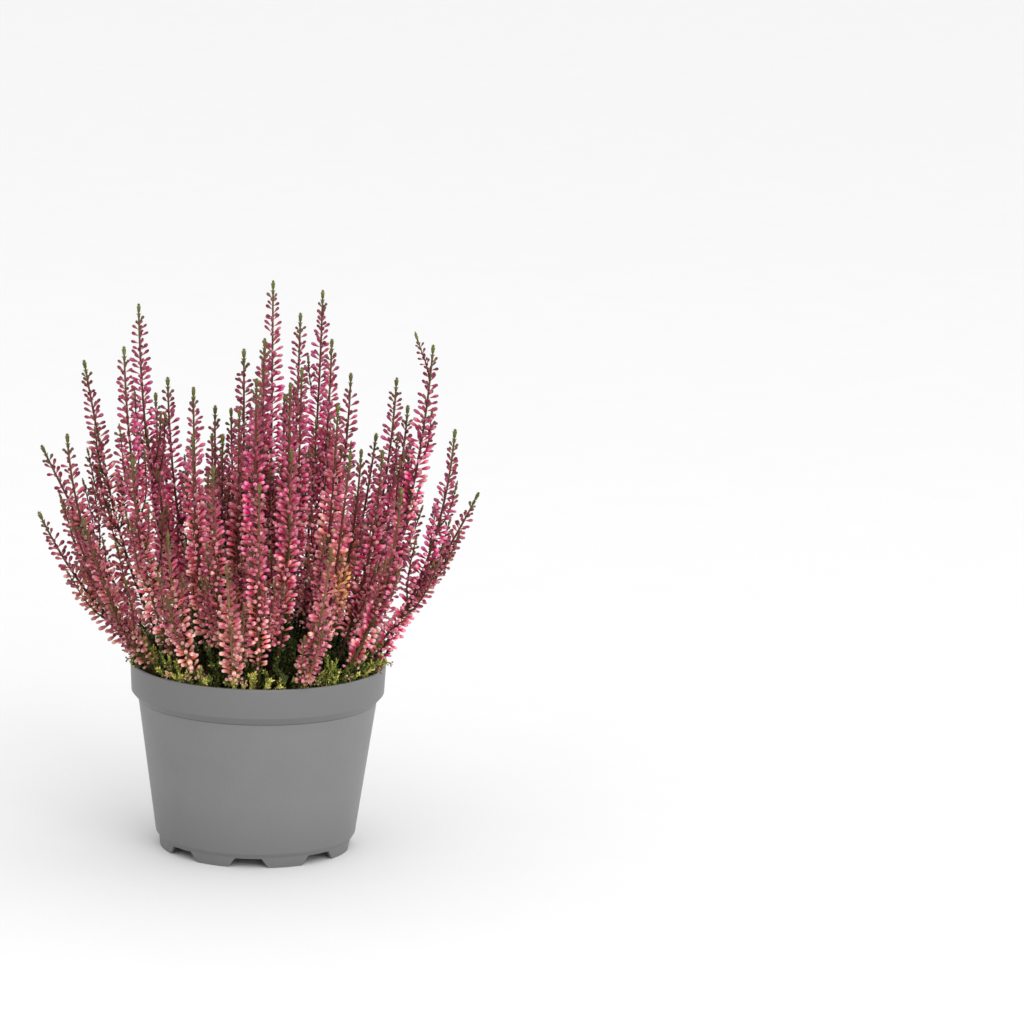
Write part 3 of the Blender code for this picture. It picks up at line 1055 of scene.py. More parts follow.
@dataclass
class Soil:
    """The peat in the pot, with loose crumbs on its surface."""

    finish: Material
    crumb: Shape
    crumbs: int = 400
    crumb_sizes: Span = (0.4, 1.5)
    radius: float = 61.5 * MM
    top_from: float = 82 * MM
    seed: int = 11

    def surface(self) -> Profile:
        """Reads the height of the CAD soil's upper side.

        Returns:
            A function that gives the height for an array of distances from the axis.
        """
        corners = np.array([vert.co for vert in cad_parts["soil"].data.vertices], float)
        corners = corners[corners[:, 2] > self.top_from]
        return np.polynomial.Polynomial.fit(np.hypot(corners[:, 0], corners[:, 1]), corners[:, 2], 2)

    def build(self) -> Piece:
        """Dresses the CAD soil, and scatters the crumbs on it.

        Returns:
            The crumbs as one piece.
        """
        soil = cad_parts["soil"]
        soil.data.materials.clear()
        soil.data.materials.append(self.finish)
        draw = np.random.default_rng(self.seed)
        away = self.radius * np.sqrt(draw.uniform(0, 1, self.crumbs))
        turn = draw.uniform(0, math.tau, self.crumbs)
        places = np.stack([away * np.cos(turn), away * np.sin(turn), self.surface()(away)], axis=1)
        frames = unit(draw.normal(size=(self.crumbs, 3, 3)))
        frames[:, 1] = unit(np.cross(frames[:, 2], frames[:, 0]))
        frames[:, 2] = np.cross(frames[:, 0], frames[:, 1])
        sizes = draw.uniform(*self.crumb_sizes, (self.crumbs, 1)) * MM * np.ones((1, 3))
        bundle = Bundle()
        bundle.stamp(self.crumb, places, frames, sizes, 0, shade=draw.uniform(0, 1, self.crumbs))
        made = bundle.build("peat_crumbs", [self.finish])
        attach(made, "root")
        return made


@dataclass
class PlantShapes:
    """The small shapes that every stem of the plant is dressed with."""

    bud: Shape
    small_bud: Shape
    scale_leaf: Shape
    needle: Shape
    stem: Shape
    thin_stem: Shape


@dataclass
class BudLook:
    """What sets the buds of one stem apart from those of the others."""

    turn: float
    warm: float
    size: float
    stem_radius: float
    faded: float
    # Taken off the buds' brightness; on the stems at the right this is painted shade.
    darker: float
    dusky: float
    bare_end: float


@dataclass
class Growth:
    """How buds and leaves are set on a stem, in pairs that stand crosswise. Most sizes are in metres.

    The needles' lengths and the lengths, widths and offsets of the green tip are in millimetres. Each of the
    tip's triples gives the value of its neck, and what the head and the second head add to that. Their places
    say how far under the tip their middle is, and how far they spread.
    """

    shapes: PlantShapes
    pitches: Span = (1.5 * MM, 2.1 * MM)
    pitch_fade: float = 8.0
    pitch_spread: float = 0.12
    most_pairs: int = 160
    shortest_run: float = 3 * MM
    pair_drift: float = math.radians(0.3)
    turn_spread: float = math.radians(20)
    missing_buds: float = 0.05
    tip_length: float = 9.0 * MM
    tip_pitch: float = 0.72 * MM
    head_place: Span = (3.4 * MM, 1.7 * MM)
    second_place: Span = (7.0 * MM, 0.8 * MM)
    tip_lengths: Triple = (1.7, 0.9, 0.7)
    tip_widths: Triple = (0.44, 0.62, 0.3)
    tip_offsets: Triple = (0.14, 0.55, 0.22)
    tip_angles: Triple = (math.radians(8), math.radians(4), math.radians(28))
    tip_angle_spread: float = math.radians(2.5)
    needle_lengths: Span = (1.6, 2.8)
    needle_angle_spread: float = math.radians(9)
    bud_lengths: Span = (3.5 * MM, 6.6 * MM)
    bud_half_widths: Span = (0.76 * MM, 1.0 * MM)
    bud_angles: Span = (math.radians(46), math.radians(66))
    length_spread: float = 0.09
    width_spread: float = 0.1
    angle_spread: float = math.radians(10)
    swelling_length: float = 46 * MM
    swelling_power: float = 0.6
    low_buds: Span = (12 * MM, 0.28)
    ripe_heights: Span = (104 * MM, 212 * MM)
    ripe_angle: float = math.radians(6)
    ripe_warmth: float = 1.1
    ripening_length: float = 58 * MM
    green_length: float = 6 * MM
    warm_spread: float = 0.28
    dusky_spread: float = 0.15
    tall_from: float = 190 * MM
    tall_reach: float = 50 * MM
    tall_share: float = 0.65
    # Painted shade: low buds near the axis, deep inside the plant, are darkened.
    painted_shade_reach: float = 45 * MM
    painted_shade_share: float = 0.6
    # Painted shade: buds low by the pot's rim, under the plant, are darkened.
    rim_shade_below: float = 116 * MM
    rim_shade_reach: float = 16 * MM
    rim_shade_share: float = 0.55
    aged_spot: Triple = (42 * MM, -34 * MM, 149 * MM)
    aged_reach: Triple = (5.5 * MM, 36 * MM, 12 * MM)
    aged_share: float = 0.8
    bract_share: float = 0.2
    bract_length: float = 1.7 * MM
    bract_angle: float = math.radians(26)
    wall_inside: float = 62.6 * MM
    wall_outside: float = 65.4 * MM
    wall_top: float = 96.2 * MM

    def pairs(
        self, line: Line, along: Array, turn: float, waver: Array | float = 0.0
    ) -> tuple[Array, ...]:
        """Gives the places where pairs of buds or leaves stand out from a stem.

        Args:
            line: The stem's line.
            along: The distance of each pair from the line's foot.
            turn: How far the first pair is turned round the stem.
            waver: How far each single one is turned from its right place.

        Returns:
            For each single bud or leaf its distance along the line, its place and its directions: outwards,
            across and along the stem.
        """
        angles = turn + np.arange(len(along)) * (math.pi / 2 + self.pair_drift)
        along = np.repeat(along, 2)
        angles = np.stack([angles, angles + math.pi], axis=1).reshape(-1) + waver
        place, frames = line.frames(along)
        outward = np.cos(angles)[:, None] * frames[:, 0] + np.sin(angles)[:, None] * frames[:, 1]
        across = np.cross(frames[:, 2], outward)
        return along, place, np.stack([outward, across, frames[:, 2]], axis=1)

    @staticmethod
    def leaning(frames: Array, angle: Array) -> Array:
        """Tips the directions of leaves or buds away from the stem.

        Args:
            frames: Directions outwards, across and along the stem.
            angle: How far each leans from the stem.

        Returns:
            The directions across each leaf, out of its blade and along it.
        """
        axis = np.cos(angle)[:, None] * frames[:, 2] + np.sin(angle)[:, None] * frames[:, 0]
        return np.stack([frames[:, 1], np.cross(axis, frames[:, 1]), axis], axis=1)

    def clear_of_pot(self, feet: Array, ways: Array, lengths: Array) -> Array:
        """Finds the leaves or buds that don't touch the pot's wall.

        Args:
            feet: Where each leaves its stem.
            ways: The direction of each.
            lengths: The length of each.

        Returns:
            True for each one that ends inside the wall or over the rim, or that stays outside the wall.
        """
        tips = feet + lengths[:, None] * ways
        foot_away, tip_away = np.hypot(feet[:, 0], feet[:, 1]), np.hypot(tips[:, 0], tips[:, 1])
        beyond = np.minimum(foot_away, tip_away) > self.wall_outside
        return (tip_away < self.wall_inside) | beyond | (tips[:, 2] > self.wall_top)

    def bud_forms(self, below_tip: Array, ripe: Array, size: float, draw: Chance) -> tuple[Array, ...]:
        """Gives the sizes and the lean of buds: small and upright at the tip, larger and wide apart below.

        Args:
            below_tip: How far under the topmost bud each one stands.
            ripe: How ripe each is, from 0 to 1.
            size: How many times the usual size they are.
            draw: The source of chance.

        Returns:
            The length, the half width and the angle from the stem of each.
        """
        number = len(ripe)
        swelling = np.clip(below_tip / self.swelling_length, 0, 1) ** self.swelling_power
        short, long = self.bud_lengths
        length = size * (short + (long - short) * swelling) * draw.normal(1, self.length_spread, number)
        narrow, wide = self.bud_angles
        angle = narrow + (wide - narrow) * swelling + draw.normal(0, self.angle_spread, number)
        slim, stout = self.bud_half_widths
        width = size * (slim + (stout - slim) * swelling) * draw.normal(1, self.width_spread, number)
        return length * (1 - 0.08 * ripe), width * (1 + 0.1 * ripe), angle + self.ripe_angle * ripe

    def bud_tones(
        self, place: Array, below_tip: Array, ripe: Array, look: BudLook, draw: Chance
    ) -> dict[str, Array]:
        """Gives the values that the finish of the buds reads.

        Args:
            place: Where each bud stands.
            below_tip: How far under the topmost bud each one stands.
            ripe: How ripe each is, from 0 to 1.
            look: What sets these buds apart.
            draw: The source of chance.

        Returns:
            The values by name. A value of young below 0 is for a bud that has aged.
        """
        number, height = len(ripe), place[:, 2]
        high = risen(height, self.tall_from, self.tall_reach)
        inside = np.clip(1 - np.hypot(place[:, 0], place[:, 1]) / self.painted_shade_reach, 0, 1)
        # Random tone, darker on the tall tops; riper buds lower down are brighter, partly their paler colour
        # and partly painted light against the shade of the crowded plant.
        shade = draw.uniform(0, 1, number) * (1 - self.tall_share * high) + 0.15 * ripe - look.darker
        # Painted shade: low buds deep inside the plant are darkened.
        shade -= self.painted_shade_share * ripe * inside
        # Painted shade: buds low by the pot's rim are darkened.
        shade -= self.rim_shade_share * risen(height, self.rim_shade_below, -self.rim_shade_reach)
        warm = look.warm + self.ripe_warmth * ripe - 0.15 + draw.normal(0, self.warm_spread, number)
        young = np.clip(1 - below_tip / self.green_length, 0, 1) * draw.uniform(0.6, 1, number)
        from_spot = (place - np.array(self.aged_spot)) / np.array(self.aged_reach)
        aged = np.clip(1.5 * np.exp(-(from_spot**2).sum(axis=1)), 0, 1)
        aged *= draw.uniform(0, 1, number) < self.aged_share
        young -= np.maximum(look.faded, aged) * draw.uniform(0.5, 1, number)
        dusky = np.clip(1.1 - below_tip / self.ripening_length, 0, 1) + look.dusky
        dusky += draw.normal(0, self.dusky_spread, number)
        return {
            "shade": np.clip(shade, 0, 1), "warm": np.clip(warm, -1, 1),
            "young": young, "dusky": np.clip(dusky, 0, 1),
        }

    def flowers(
        self, bundle: Bundle, shape: Shape, line: Line, first: float, look: BudLook, draw: Chance
    ) -> None:
        """Sets pairs of buds along a stem, from where they start to under its green tip.

        Args:
            bundle: Takes the copies.
            shape: The shape of a bud.
            line: The stem's line.
            first: How far from the line's foot the lowest pair stands.
            look: What sets these buds apart.
            draw: The source of chance.
        """
        last = line.length - look.bare_end
        near, far = self.pitches
        gaps = look.size * (near + (far - near) * np.exp(-np.arange(self.most_pairs) / self.pitch_fade))
        below = np.cumsum(gaps) - gaps[0]
        below = below[below < max(last - first, self.shortest_run)]
        along = last - below + draw.normal(0, self.pitch_spread * near, len(below))
        waver = draw.normal(0, self.turn_spread, 2 * len(along))
        along, place, frames = self.pairs(line, along, look.turn, waver)
        kept = draw.uniform(0, 1, len(along)) > self.missing_buds
        along, place, frames = along[kept], place[kept], frames[kept]
        below_tip = np.clip(last - along, 0, None)
        lowest, highest = self.ripe_heights
        ripe = risen(place[:, 2], highest, lowest - highest)
        length, width, angle = self.bud_forms(below_tip, ripe, look.size, draw)
        tones = self.bud_tones(place, below_tip, ripe, look, draw)
        low_length, low_share = self.low_buds
        smaller = 1 - low_share * np.clip(1 - (along - first) / low_length, 0, 1)
        start = place + 0.6 * look.stem_radius * frames[:, 0]
        leaning = self.leaning(frames, angle)
        sizes = np.stack([width, width, length], axis=1) * smaller[:, None]
        clear = self.clear_of_pot(start, leaning[:, 2], length)
        bundle.stamp(
            shape, start[clear], leaning[clear], sizes[clear], Part.BUD.value,
            **{name: tone[clear] for name, tone in tones.items()},
        )
        bracts = draw.uniform(0, 1, len(along)) < self.bract_share
        leaf = np.full(bracts.sum(), self.bract_length * look.size)
        leaning = self.leaning(frames[bracts], np.full(len(leaf), self.bract_angle))
        sizes = np.stack([0.24 * leaf, 0.2 * leaf, leaf], axis=1)
        shade = np.clip(0.25 + 0.2 * draw.normal(size=len(leaf)), 0, 0.6)
        bundle.stamp(self.shapes.needle, place[bracts], leaning, sizes, Part.LEAF.value, shade=shade)

    def green_tip(
        self, bundle: Bundle, line: Line, turn: float, size: float, brown: float, draw: Chance
    ) -> None:
        """Covers the end of a stem with scale leaves: a pointed head over a smaller one and a thin neck.

        Args:
            bundle: Takes the copies.
            line: The stem's line.
            turn: How far the first pair is turned round the stem.
            size: How many times the usual size the leaves are.
            brown: How brown the leaves are, from 0 to 1.
            draw: The source of chance.
        """
        below = np.arange(0.8 * MM, self.tip_length + 0.5 * MM, self.tip_pitch)
        _, place, frames = self.pairs(line, line.length - below, turn)
        below = np.repeat(below, 2)
        number = len(below)
        head, second = (
            np.exp(-(((below - middle) / spread) ** 2))
            for middle, spread in (self.head_place, self.second_place)
        )
        length, width, out, angle = (
            neck + more * head + again * second
            for neck, more, again in (self.tip_lengths, self.tip_widths, self.tip_offsets, self.tip_angles)
        )
        length = size * np.minimum(below + 0.3 * MM, length * MM)
        width, out = size * width * MM, size * out * MM
        angle = angle + draw.normal(0, self.tip_angle_spread, number)
        bundle.stamp(
            self.shapes.scale_leaf, place + out[:, None] * frames[:, 0], self.leaning(frames, angle),
            np.stack([width, width, length], axis=1), Part.LEAF.value,
            shade=np.clip(0.42 + 0.08 * draw.normal(size=number) - 12.0 * below, 0, 1),
            warm=np.clip(brown + 0.1 * draw.normal(size=number), 0, 1),
        )

    def leaves(
        self, bundle: Bundle, line: Line, span: Span, turn: float, shade: float, draw: Chance,
        size: float = 1.0, spacing: float = 1.3 * MM, lean: float = math.radians(38),
    ) -> None:
        """Sets pairs of small leaves along a stretch of stem.

        Args:
            bundle: Takes the copies.
            line: The stem's line.
            span: Where the stretch starts and ends, from the line's foot.
            turn: How far the first pair is turned round the stem.
            shade: How bright the leaves are, from 0 to 1.
            draw: The source of chance.
            size: How many times the usual size the leaves are.
            spacing: How far apart the pairs are.
            lean: How far the leaves stand off the stem.
        """
        along, place, frames = self.pairs(line, np.arange(*span, spacing), turn)
        number = len(along)
        length = size * draw.uniform(*self.needle_lengths, number) * MM
        leaning = self.leaning(frames, lean + draw.normal(0, self.needle_angle_spread, number))
        tone = np.clip(shade + 0.2 * draw.normal(size=number), 0, 1)
        sizes = np.stack([0.27 * length, 0.24 * length, length], axis=1)
        clear = self.clear_of_pot(place, leaning[:, 2], length)
        needle = self.shapes.needle
        bundle.stamp(needle, place[clear], leaning[clear], sizes[clear], Part.LEAF.value, shade=tone[clear])


@dataclass
class FlowerSpike:
    """One flowering stem with its side shoots, in the place of a CAD node."""

    node: str
    growth: Growth
    finishes: Sequence[Material]
    stem_radii: Span = (1.0 * MM, 0.52 * MM)
    leafy_lengths: Span = (14 * MM, 34 * MM)
    root_field: float = 51 * MM
    most_shoots: int = 6
    shoot_lengths: Span = (24 * MM, 46 * MM)
    shortest_shoot: float = 20 * MM
    shoot_ends: Span = (0.4, 0.84)
    shoot_spreads: Span = (0.16, 0.3)
    leaving_angle: float = 0.7
    aged_below: float = 150 * MM
    aged_share: float = 0.1
    under_soil: float = 15 * MM
    forked: str = "spike_35"
    fork_below: float = 22 * MM
    fork_end: Triple = (-9.3 * MM, 0.0, 6.5 * MM)
    line: Line = field(init=False)
    draw: Chance = field(init=False)

    def __post_init__(self) -> None:
        """Finds the stem's line, and starts its own source of chance."""
        self.line = middle_line(self.node)
        self.draw = chance_of(self.node, 3)

    def warmth(self) -> float:
        """Says how salmon the buds are: most on the low spikes in front, and least on those at the right.

        Returns:
            From -1 for purple over 0 for crimson to 1 for salmon.
        """
        across, depth, height = self.line.points[-1]
        front = np.clip(0.5 - depth / (150 * MM), 0, 1)
        low = risen(height, 255 * MM, -90 * MM)
        left = risen(across, -60 * MM, -50 * MM)
        right = risen(across, 35 * MM, 40 * MM)
        tone = 0.3 * front * low + 0.35 * left - 0.3 * right - 0.18
        return float(np.clip(tone + self.draw.normal(0, 0.28), -0.7, 0.8))

    def darkness(self) -> float:
        """Says what is taken off the buds' brightness: painted shade at the right, where the light is
        strongest.
        """
        return float(0.3 * risen(self.line.points[-1][0], 35 * MM, 50 * MM) + self.draw.uniform(-0.08, 0.1))

    def freshness(self) -> float:
        """Says how green the bark is: most on the low stems in front.

        Returns:
            The share of green, from 0 to 1.
        """
        _, depth, height = self.line.points[-1]
        low = risen(height, 225 * MM, -60 * MM)
        return float(np.clip(low * (-0.1 - depth / (90 * MM)) + self.draw.normal(0, 0.05), 0, 1))

    def duskiness(self) -> float:
        """Says what is added to the buds' dusky tone: most on the outer stems at the left."""
        return float(0.25 * risen(self.line.points[-1][0], -45 * MM, -50 * MM))

    def outerness(self) -> float:
        """Says how far out the stem leans, from 0 in the middle of the plant to 1 at its edge."""
        return float(risen(np.linalg.norm(self.line.points[-1, :2]), 40 * MM, 45 * MM))

    def fading(self, height: float) -> float:
        """Says how far the buds of a side shoot have aged to orange and yellow: a few low shoots have."""
        chance = self.draw.uniform(0, 1)
        return self.draw.uniform(0.15, 0.6) if height < self.aged_below and chance < self.aged_share else 0.0

    def side_line(self, along: float, length: float) -> Line:
        """Draws a side shoot that leaves the stem at an angle and then runs up beside it.

        Args:
            along: Where it leaves the stem, from the line's foot.
            length: How long it is.

        Returns:
            The side shoot's line.
        """
        place, side, other, ahead = self.line.at(along)
        inward = -unit(np.array([place[0], place[1], 1e-6]))
        outer = self.outerness()
        beneath = self.draw.uniform(0, 1) < 0.6 * outer
        aim = -inward if beneath else UP + 0.3 * inward
        sides = [math.cos(t) * side + math.sin(t) * other for t in self.draw.uniform(0, math.tau, 3)]
        outward = max(sides, key=lambda way: float(way @ aim))
        spread = self.draw.uniform(*self.shoot_spreads) * (0.7 if beneath else 1 + 0.6 * outer)
        leaving = unit(math.cos(self.leaving_angle) * ahead + math.sin(self.leaving_angle) * outward)
        arriving = unit(0.86 * ahead + 0.5 * spread * outward + 0.3 * UP)
        end = place + length * unit(ahead + spread * outward + 0.2 * UP)
        return Line.arc(place, leaving, end, arriving)

    def add_shoot(self, bundle: Bundle, warm: float, darker: float, fresh: float, first: float) -> None:
        """Adds one side shoot with buds, leaves and a green tip.

        Args:
            bundle: Takes the copies.
            warm: How salmon the stem's buds are.
            darker: How much darker than usual they are.
            fresh: How green the bark is.
            first: The lowest place on the stem where a shoot may leave it.
        """
        draw, growth, line = self.draw, self.growth, self.line
        low, high = self.shoot_ends
        share = draw.uniform(low + 0.15 * self.outerness(), high)
        end = self.under_soil + (line.length - self.under_soil) * share
        along = max(0.5 * (first + self.under_soil), end - draw.uniform(*self.shoot_lengths))
        side = self.side_line(along, max(end - along, self.shortest_shoot))
        bundle.bend(growth.shapes.thin_stem, side, taper(0.42, 0.14), Part.BARK.value, warm=fresh)
        turn = draw.uniform(0, math.pi)
        size = draw.uniform(0.88, 1.0)
        faded = self.fading(side.points[len(side.points) // 2][2])
        look = BudLook(
            turn=turn, warm=warm + draw.normal(0, 0.4), size=size, stem_radius=0.35 * MM,
            faded=faded, darker=darker, dusky=self.duskiness(), bare_end=6.5 * MM,
        )
        growth.flowers(bundle, growth.shapes.small_bud, side, 6 * MM, look, draw)
        growth.green_tip(bundle, side, turn, 0.72, 1.0, draw)
        growth.leaves(bundle, side, (1.5 * MM, 7 * MM), turn, 0.3, draw, 0.8)

    def add_fork(self, bundle: Bundle, warm: float, darker: float, fresh: float) -> None:
        """Adds a thin twig that parts from the stem under its tip and ends above it.

        Args:
            bundle: Takes the copies.
            warm: How salmon the stem's buds are.
            darker: How much darker than usual they are.
            fresh: How green the bark is.
        """
        place, _, _, ahead = self.line.at(self.line.length - self.fork_below)
        end = self.line.points[-1] + np.array(self.fork_end)
        fork = Line.arc(place, ahead, end, unit(end - place))
        growth, turn = self.growth, 0.4
        bundle.bend(growth.shapes.thin_stem, fork, taper(0.4, 0.1), Part.BARK.value, warm=fresh)
        look = BudLook(
            turn=turn, warm=warm, size=0.8, stem_radius=0.3 * MM,
            faded=0.0, darker=darker, dusky=0.3, bare_end=7.0 * MM,
        )
        growth.flowers(bundle, growth.shapes.small_bud, fork, 6 * MM, look, self.draw)
        growth.green_tip(bundle, fork, turn, 0.8, 0.5, self.draw)

    def build(self) -> Piece:
        """Builds and dresses the spike.

        Returns:
            The piece that stands for the CAD node.
        """
        bundle, line, draw, growth = Bundle(), self.line, self.draw, self.growth
        warm, darker, fresh = self.warmth(), self.darkness(), self.freshness()
        thick, thin = self.stem_radii
        bundle.bend(
            growth.shapes.stem, line, lambda share: thick + (thin - thick) * share,
            Part.BARK.value, warm=fresh,
        )
        turn = draw.normal(0, math.radians(20))
        inside = 1 - np.clip(np.linalg.norm(line.points[1, :2]) / self.root_field, 0, 1) ** 2
        short, long = self.leafy_lengths
        first = self.under_soil + (short + (long - short) * inside) * draw.uniform(0.85, 1.15)
        look = BudLook(
            turn=turn, warm=warm, size=draw.uniform(0.95, 1.06), stem_radius=0.5 * MM,
            faded=0.0, darker=darker, dusky=self.duskiness(), bare_end=growth.tip_length,
        )
        growth.flowers(bundle, growth.shapes.bud, line, first, look, draw)
        growth.green_tip(bundle, line, turn, draw.uniform(0.95, 1.15), 0.3 + 0.5 * fresh, draw)
        growth.leaves(
            bundle, line, (self.under_soil, first + 4 * MM), turn, 0.2 + 0.3 * fresh, draw, 1.0, 1.8 * MM
        )
        shown = line.length - self.under_soil
        fullness = np.clip((shown - 40 * MM) / (95 * MM), 0.15, 1.0) * (0.8 + 0.35 * self.outerness())
        for _ in range(round(self.most_shoots * fullness)):
            self.add_shoot(bundle, warm, darker, fresh, first)
        if self.node == self.forked:
            self.add_fork(bundle, warm, darker, fresh)
        made = bundle.build(f"flower_{self.node}", self.finishes)
        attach(made, "root")
        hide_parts(self.node)
        return made


@dataclass
class LeafyShoot:
    """A low shoot by the pot's wall with leaves and no flowers, in the place of a CAD node."""

    node: str
    growth: Growth
    finishes: Sequence[Material]
    side_twigs: int = 5
    twig_lengths: Span = (6 * MM, 12 * MM)
    turn_step: float = 2.4
    under_soil: float = 14 * MM
    room: float = 59.5 * MM
    clear_of_rim: float = 99 * MM

    def build(self) -> Piece:
        """Builds and dresses the shoot.

        Returns:
            The piece that stands for the CAD node.
        """
        line = middle_line(self.node)
        draw = chance_of(self.node, 5)
        bundle, growth, under_soil = Bundle(), self.growth, self.under_soil
        bundle.bend(growth.shapes.thin_stem, line, taper(0.6, 0.3), Part.BARK.value, warm=0.6)
        growth.leaves(bundle, line, (under_soil, line.length), 0.4, 0.6, draw)
        for index in range(self.side_twigs):
            share = 0.15 + 0.75 * index / self.side_twigs
            place, side, other, ahead = line.at(under_soil + (line.length - under_soil) * share)
            turn = index * self.turn_step + draw.uniform(0, 0.8)
            outward = math.cos(turn) * side + math.sin(turn) * other
            length = draw.uniform(*self.twig_lengths)
            end = place + length * unit(ahead + 0.5 * outward)
            if math.hypot(end[0], end[1]) > self.room and place[2] < self.clear_of_rim:
                outward = -unit(np.array([place[0], place[1], 1e-6]))
                end = place + length * unit(ahead + 0.5 * outward)
            twig = Line.arc(place, unit(ahead + 1.2 * outward), end, unit(ahead + 0.2 * outward))
            bundle.bend(growth.shapes.thin_stem, twig, taper(0.3, 0.1), Part.BARK.value, warm=0.7)
            growth.leaves(bundle, twig, (0.5 * MM, twig.length), draw.uniform(0, 3), 0.65, draw, 0.9)
        made = bundle.build(f"dressed_{self.node}", self.finishes)
        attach(made, "root")
        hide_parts(self.node)
        return made


@dataclass
class LowTwigs:
    """Low leafy twigs between the flowering stems: over the rim, over the lip, or inside the plant."""

    habit: Habit
    growth: Growth
    finishes: Sequence[Material]
    ground: Profile
    count: int
    seed: int
    flowering_share: float = 0.16
    turn_step: float = 2.399963
    tones: tuple[float, ...] = (0.2, 0.4, 0.55, 0.75, 1.0)
    # The inner twigs' leaves take the darkest tones, painted shade inside the plant.
    inner_shade_tones: Span = (0.05, 0.35)

    def outer_end(self, outward: Array, draw: Chance) -> tuple[float, float, float, Array]:
        """Draws how a twig at the rim or over the lip grows.

        Args:
            outward: The direction from the pot's axis to the twig.
            draw: The source of chance.

        Returns:
            How far from the axis it starts and ends, how high it ends, and the direction in which it ends.
        """
        on_rim = self.habit is Habit.RIM
        spans = ((50, 60), (57, 67), (99, 107)) if on_rim else ((55, 59), (66.5, 69.5), (97, 99))
        away, reach, top = (draw.uniform(*span) * MM for span in spans)
        if on_rim:
            top -= 0.5 * max(0.0, reach - 62 * MM)
        rise, drift = (draw.uniform(-0.1, 1.5), 0.5) if on_rim else (-draw.uniform(0.6, 1.2), 0.3)
        return away, reach, top, unit(outward + rise * UP + draw.normal(0, drift) * np.cross(UP, outward))

    def inner_end(self, outward: Array, draw: Chance) -> tuple[float, float, float, Array]:
        """Draws how a twig inside the plant grows: taller towards the back.

        Args:
            outward: The direction from the pot's axis to the twig.
            draw: The source of chance.

        Returns:
            How far from the axis it starts and ends, how high it ends, and the direction in which it ends.
        """
        field_radius, most_reach = 54 * MM, 60 * MM
        away = field_radius * math.sqrt(draw.uniform(0, 1))
        reach = min(away + draw.uniform(0, 14) * MM, most_reach)
        behind = max(0.0, float(outward[1])) * away / field_radius
        top = draw.uniform(102, 146) * MM - 0.3 * away + 16 * MM * behind
        return away, reach, top, unit(0.3 * outward + UP)

    def twig_line(self, turn: float, draw: Chance) -> Line:
        """Draws one twig.

        Args:
            turn: The side of the pot that it grows on.
            draw: The source of chance.

        Returns:
            The twig's line.
        """
        outward = np.array([math.cos(turn), math.sin(turn), 0.0])
        drawn = self.inner_end if self.habit is Habit.INNER else self.outer_end
        away, reach, top, arriving = drawn(outward, draw)
        start = away * outward
        start[2] = float(self.ground(np.array([away]))[0]) - 2 * MM
        sideways = draw.normal(0, 4 * MM) * np.cross(UP, outward)
        return Line.arc(start, unit(UP + 0.2 * outward), reach * outward + top * UP + sideways, arriving)

    def build(self) -> Piece:
        """Builds and dresses the twigs as one piece.

        Returns:
            The piece.
        """
        draw = np.random.default_rng(self.seed)
        bundle, growth = Bundle(), self.growth
        outer = self.habit is not Habit.INNER
        if outer:
            bark, bare_share, spacing, size, lean = 0.6, 0.45, 0.95 * MM, 1.05, 0.85
        else:
            bark, bare_share, spacing, size, lean = 0.1, 0.2, 2.0 * MM, 1.6, 0.75
        bare_end = 4 * MM if self.habit is Habit.LIP else 0.0
        for index in range(self.count):
            line = self.twig_line((index + draw.uniform(-0.4, 0.4)) * self.turn_step, draw)
            bundle.bend(growth.shapes.thin_stem, line, taper(0.4, 0.2), Part.BARK.value, warm=bark)
            bright = draw.choice(self.tones) if outer else draw.uniform(*self.inner_shade_tones)
            span = (bare_share * line.length, line.length - bare_end)
            growth.leaves(bundle, line, span, draw.uniform(0, 3), bright, draw, size, spacing, lean)
            if draw.uniform(0, 1) < self.flowering_share:
                look = BudLook(
                    turn=draw.uniform(0, 3), warm=0.8, size=0.7, stem_radius=0.3 * MM,
                    faded=draw.uniform(0, 0.5), darker=-0.3, dusky=-1.0, bare_end=1.0 * MM,
                )
                first = line.length - draw.uniform(3, 7) * MM
                growth.flowers(bundle, growth.shapes.small_bud, line, first, look, draw)
        made = bundle.build(f"{self.habit.value}_twigs", self.finishes)
        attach(made, "root")
        return made


